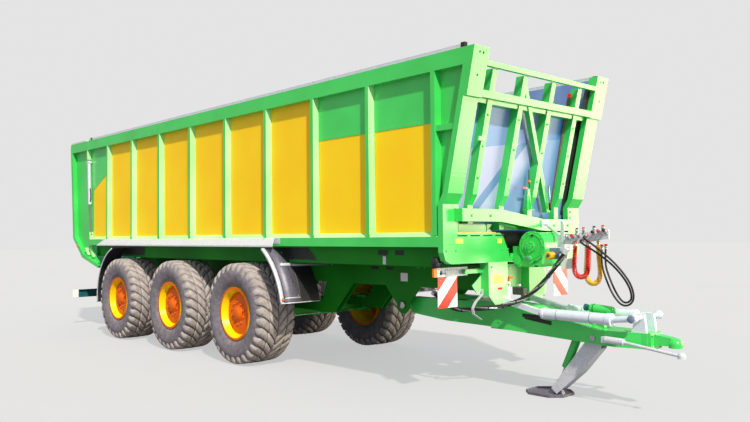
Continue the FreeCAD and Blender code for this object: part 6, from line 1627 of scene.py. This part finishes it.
def dress_drawbar():
    """Side slots in painted shade with their covers, ram rings, pins and bolts on the drawbar."""
    shapes = []
    for hand in (-1, 1):
        # Painted shade: flat dark patches for the side slots.
        ys = sorted((hand * 0.1797, hand * 0.1845))
        shapes.append(block("side_slot", (4.110, ys[0], 0.8135), (4.386, ys[1], 0.8505), MOULDED_BLACK, 0))
        plate = [
            (4.137, 0.795), (4.478, 0.752), (4.478, 0.797), (4.390, 0.806), (4.390, 0.812), (4.137, 0.812)
        ]
        ys = sorted((hand * DRAWBAR_FACE_Y, hand * (DRAWBAR_FACE_Y + 0.0015)))
        shapes.append(slab("slot_cover", plate, "y", ys[0], ys[1], MOULDED_BLACK, 0))
        for x in (4.60, 4.98):
            band = [(-0.003, 0.0562), (-0.003, 0.0575), (0.003, 0.0575), (0.003, 0.0562)]
            place = (x, hand * 0.245, 0.8745 - (x - 4.60) * RAM_SLOPE)
            shapes.append(turned("ram_ring", band, place, (1, 0, -RAM_SLOPE), STEEL_BLUE, 40))
        shapes.append(
            pipe(
                "pin_disc",
                (5.421, hand * 0.2855, 0.895),
                (5.421, hand * 0.2945, 0.895),
                0.036,
                STEEL_BLUE,
                32,
            )
        )
        shapes.append(
            pipe(
                "pivot_pin",
                (2.583, hand * RAIL_FACE_Y, 0.870),
                (2.583, hand * 0.505, 0.870),
                0.045,
                CHROME,
                28,
            )
        )
        for x, z in ((3.80, 0.74), (4.10, 0.72)):
            shapes += bolt((x, hand * DRAWBAR_FACE_Y, z), (0, hand, 0), 0.011, GREEN)
        for z in (0.618, 0.732):
            shapes += bolt((5.5255, hand * 0.085, z), (1, 0, 0), 0.013)
        shapes.append(
            pipe(
                "stand_pin",
                (4.953, hand * DRAWBAR_FACE_Y, 0.665),
                (4.953, hand * 0.197, 0.665),
                0.030,
                ZINC_PLATE,
                24,
            )
        )
    band = [(-0.004, 0.0462), (-0.004, 0.0480), (0.004, 0.0480), (0.004, 0.0462)]
    shapes.append(turned("bottle_ring", band, (4.87, 0, 0.9418), (1, 0, -0.067), MOULDED_BLACK, 40))
    fitted("drawbar_fittings", shapes, "root")


# --- rear ---------------------------------------------------------------------------------

CHEEK_STEP = 0.002
RIB_FACE_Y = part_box("side_frames")[1].y
CHEEK_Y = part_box("side_panels")[1].y + CHEEK_STEP


def dress_rear():
    """Light bar's ends, lenses and plates, the tailgate's links and marker, and its rams' oil lines."""
    bar = [
        block("bar_end", (-5.8485, -1.2465, 0.549), (-5.796, -1.130, 0.701), LABEL_WHITE, 0.002),
        block("bar_end", (-5.8485, 1.130, 0.549), (-5.796, 1.2465, 0.701), LABEL_WHITE, 0.002),
    ]
    for hand in (-1, 1):
        for i, lens in enumerate((AMBER_LENS, RED_LENS, RED_LENS, WHITE_LENS)):
            y = hand * (1.145 - 0.090 * i)
            dome = [(0.0, 0.0), (0.0, 0.040), (0.004, 0.038), (0.008, 0.024), (0.009, 0.0)]
            bar.append(turned("tail_lens", dome, (-5.8755, y, 0.625), (-1, 0, 0), lens, 24))
        ys = sorted((hand * 0.20, hand * 0.26))
        bar.append(block("plate_lamp", (-5.856, ys[0], 0.675), (-5.8475, ys[1], 0.695), MOULDED_BLACK))
    bar.append(block("number_plate_holder", (-5.852, -0.26, 0.560), (-5.8475, 0.26, 0.670), LABEL_WHITE))
    fitted("light_bar_fittings", bar, "root")
    cheek = CHEEK_Y + 0.0003
    upper_link = [(-5.120, 1.530), (-5.050, 1.560), (-4.900, 1.365), (-4.950, 1.335)]
    lower_link = [(-5.290, 1.500), (-5.240, 1.530), (-5.090, 1.400), (-5.130, 1.375)]
    gate = [
        # The lock links and the ram bracket are in the painted highlight green.
        slab("lock_link", upper_link, "y", cheek, cheek + 0.030, GREEN_PAINTED_HIGHLIGHT, 0.003),
        slab("lock_link", lower_link, "y", cheek, cheek + 0.050, GREEN_PAINTED_HIGHLIGHT, 0.003),
        block("ram_bracket", (-5.118, cheek, 3.205), (-5.078, 1.247, 3.384), GREEN_PAINTED_HIGHLIGHT, 0.002),
        block("top_strip", (-5.885, 1.160, 3.5573), (-5.175, 1.2435, 3.588), GALVANISED, 0.003),
    ]
    for x, z, reach in (
        (-5.075, 1.533, 0.030), (-4.932, 1.355, 0.030), (-5.255, 1.506, 0.050), (-5.120, 1.396, 0.050)
    ):
        gate += bolt((x, cheek + reach, z), (0, 1, 0), 0.014)
    marker = [(0.0, 0.0), (0.0, 0.026), (0.010, 0.024), (0.016, 0.012), (0.016, 0.0)]
    gate.append(
        turned("gate_marker", marker, (-5.545, RIB_FACE_Y + 0.0003, 1.568), (0, 1, 0), AMBER_LENS, 24)
    )
    fitted("tailgate_fittings", both(gate), "tail_gate")
    loop = [(-5.040, 1.214, 2.660), (-4.990, 1.226, 2.610), (-4.972, 1.228, 2.500), (-4.988, 1.226, 2.415)]
    loop.append((-5.050, 1.214, 2.385))
    for hand, side in ((-1, "right"), (1, "left")):
        route = [(x, hand * y, z) for x, y, z in loop]
        line = tube("ram_line", route_line(route), 0.010, HOSE_RUBBER, 12)
        fitted(f"gate_ram_line_{side}", [line], f"gate_barrel_{side}")


# --- floor, light and camera --------------------------------------------------------------

FLOOR_SIZE = 240
FLOOR_CLOUD_MM = 3000
FLOOR_BACKDROP_SHARE = 0.66


def floor():
    """A pale floor that keeps a soft shadow and is plain white-grey to the camera."""
    bpy.ops.mesh.primitive_plane_add(size=FLOOR_SIZE, location=(0, 0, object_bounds()[0].z - 0.002))
    plane = bpy.context.object
    plane.name = "floor"
    material, tree, shader = start("pale_floor")
    path = add(tree, "ShaderNodeLightPath")
    point = add(tree, "ShaderNodeTexCoord").outputs["Object"]
    clouds = add(
        tree, "ShaderNodeTexNoise", inputs={"Scale": 1000 / FLOOR_CLOUD_MM}, links={"Vector": point}
    )
    stops = [(0.3, "#c0c2c6"), (0.7, "#c3c5c9")]
    seen = add(tree, "ShaderNodeValToRGB", links={"Fac": clouds.outputs["Fac"]}, stops=stops)
    colour = add(
        tree,
        "ShaderNodeMix",
        {"data_type": "RGBA"},
        {6: linear("#868688")},
        {0: path.outputs["Is Camera Ray"], 7: seen.outputs["Color"]},
    )
    tree.links.new(colour.outputs[2], shader.inputs["Base Color"])
    shader.inputs["Roughness"].default_value = 0.95
    shader.inputs["Specular IOR Level"].default_value = 0.0
    backdrop = add(tree, "ShaderNodeEmission", inputs={"Color": linear("#e4e4e4"), "Strength": 1.0})
    share = add(
        tree,
        "ShaderNodeMath",
        {"operation": "MULTIPLY"},
        {1: FLOOR_BACKDROP_SHARE},
        {0: path.outputs["Is Camera Ray"]},
    )
    mix = add(
        tree,
        "ShaderNodeMixShader",
        links={0: share.outputs[0], 1: shader.outputs[0], 2: backdrop.outputs[0]},
    )
    tree.links.new(mix.outputs[0], tree.nodes["Material Output"].inputs["Surface"])
    plane.data.materials.append(material)
    plane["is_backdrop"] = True
    return plane


def sky(strength, seen):
    """Even light from all round; the camera sees a pale backdrop and reflections see a dimmer one."""
    world = bpy.data.worlds.new("soft_sky")
    world.use_nodes = True
    bpy.context.scene.world = world
    tree = world.node_tree
    light = tree.nodes["Background"]
    light.inputs["Color"].default_value = linear("#f4f6ff")
    light.inputs["Strength"].default_value = strength
    backdrop = add(tree, "ShaderNodeBackground", inputs={"Color": linear(seen), "Strength": 1.0})
    mirrored = add(tree, "ShaderNodeBackground", inputs={"Color": linear(seen), "Strength": 0.45})
    path = add(tree, "ShaderNodeLightPath")
    shine = add(
        tree,
        "ShaderNodeMixShader",
        links={0: path.outputs["Is Glossy Ray"], 1: light.outputs[0], 2: mirrored.outputs[0]},
    )
    seen_by = add(
        tree,
        "ShaderNodeMath",
        {"operation": "MAXIMUM"},
        links={0: path.outputs["Is Camera Ray"], 1: path.outputs["Is Transmission Ray"]},
    )
    mix = add(
        tree,
        "ShaderNodeMixShader",
        links={0: seen_by.outputs[0], 1: shine.outputs[0], 2: backdrop.outputs[0]},
    )
    tree.links.new(mix.outputs[0], tree.nodes["World Output"].inputs["Surface"])


def lamp(kind, name, energy, colour, place, towards, settings):
    """A lamp at a place that shines in a direction."""
    light = bpy.data.lights.new(name, kind)
    light.energy = energy
    light.color = linear(colour)[:3]
    for key, value in settings.items():
        setattr(light, key, value)
    holder = bpy.data.objects.new(name, light)
    holder.location = place
    holder.visible_camera = False
    holder.rotation_mode = "QUATERNION"
    holder.rotation_quaternion = Vector(towards).to_track_quat("-Z", "Y")
    bpy.context.scene.collection.objects.link(holder)
    return holder


def keep_light_off(light, thing):
    """The lamp lights everything but one thing, so that a low lamp leaves no bright patch on the floor."""
    linked = bpy.data.collections.new(light.name + "_receivers")
    linked.objects.link(thing)
    linked.collection_objects[0].light_linking.link_state = "EXCLUDE"
    light.light_linking.receiver_collection = linked


def camera(place, azimuth, pitch, roll, lens):
    """A camera at a place, turned azimuth degrees from +Y, pitched down and rolled."""
    a, p, r = (math.radians(v) for v in (azimuth, pitch, roll))
    forward = Vector((-math.sin(a) * math.cos(p), math.cos(a) * math.cos(p), -math.sin(p)))
    right = Vector((math.cos(a), math.sin(a), 0))
    up = right.cross(forward)
    right_rolled = right * math.cos(r) + up * math.sin(r)
    up_rolled = up * math.cos(r) - right * math.sin(r)
    holder = bpy.data.objects.new("camera", bpy.data.cameras.new("camera"))
    holder.data.lens = lens
    holder.data.sensor_width = 36
    holder.data.clip_end = 200
    turn = Matrix((right_rolled, up_rolled, -forward)).transposed()
    holder.matrix_world = Matrix.Translation(place) @ turn.to_4x4()
    bpy.context.scene.collection.objects.link(holder)
    bpy.context.scene.camera = holder


CAMERA_FROM_AXLE = Vector((10.4365, -6.8213, 1.7096))

RING = copies_tree("ring_of_copies", (), places_round_y)
ROW = copies_tree("row_of_copies", (("Step", "Vector"),), places_in_a_row)

camera(
    Vector((AXLE_X, 0, 0)) + CAMERA_FROM_AXLE,
    azimuth=47.065,
    pitch=-1.890,
    roll=-0.567,
    lens=35.56,
)
hose_bundle()
pressure_hoses()
air_coils()
dress_cad_nodes()
zone_cad_nodes()
dress_tyres()
dress_wheel_middles()
dress_fenders()
dress_push_wall()
dress_front()
dress_boards()
dress_sides()
dress_chassis()
dress_drawbar()
dress_rear()
FLOOR = floor()
sky(0.70, "#e4e4e4")
lamp("SUN", "key_sun", 4.4, "#fff6e2", (0, 0, 10), (-0.60, 0.27, -0.60), {"angle": math.radians(2)})
SOFTBOX_PLACE = (9.6, 7.8, 2.1)
SOFTBOX_SHAPE = {"shape": "RECTANGLE", "size": 7, "size_y": 4}
SOFTBOX = lamp("AREA", "front_softbox", 700, "#fff4cc", SOFTBOX_PLACE, (-1, -0.9, 0), SOFTBOX_SHAPE)
keep_light_off(SOFTBOX, FLOOR)
bpy.context.scene.view_settings.view_transform = "Standard"
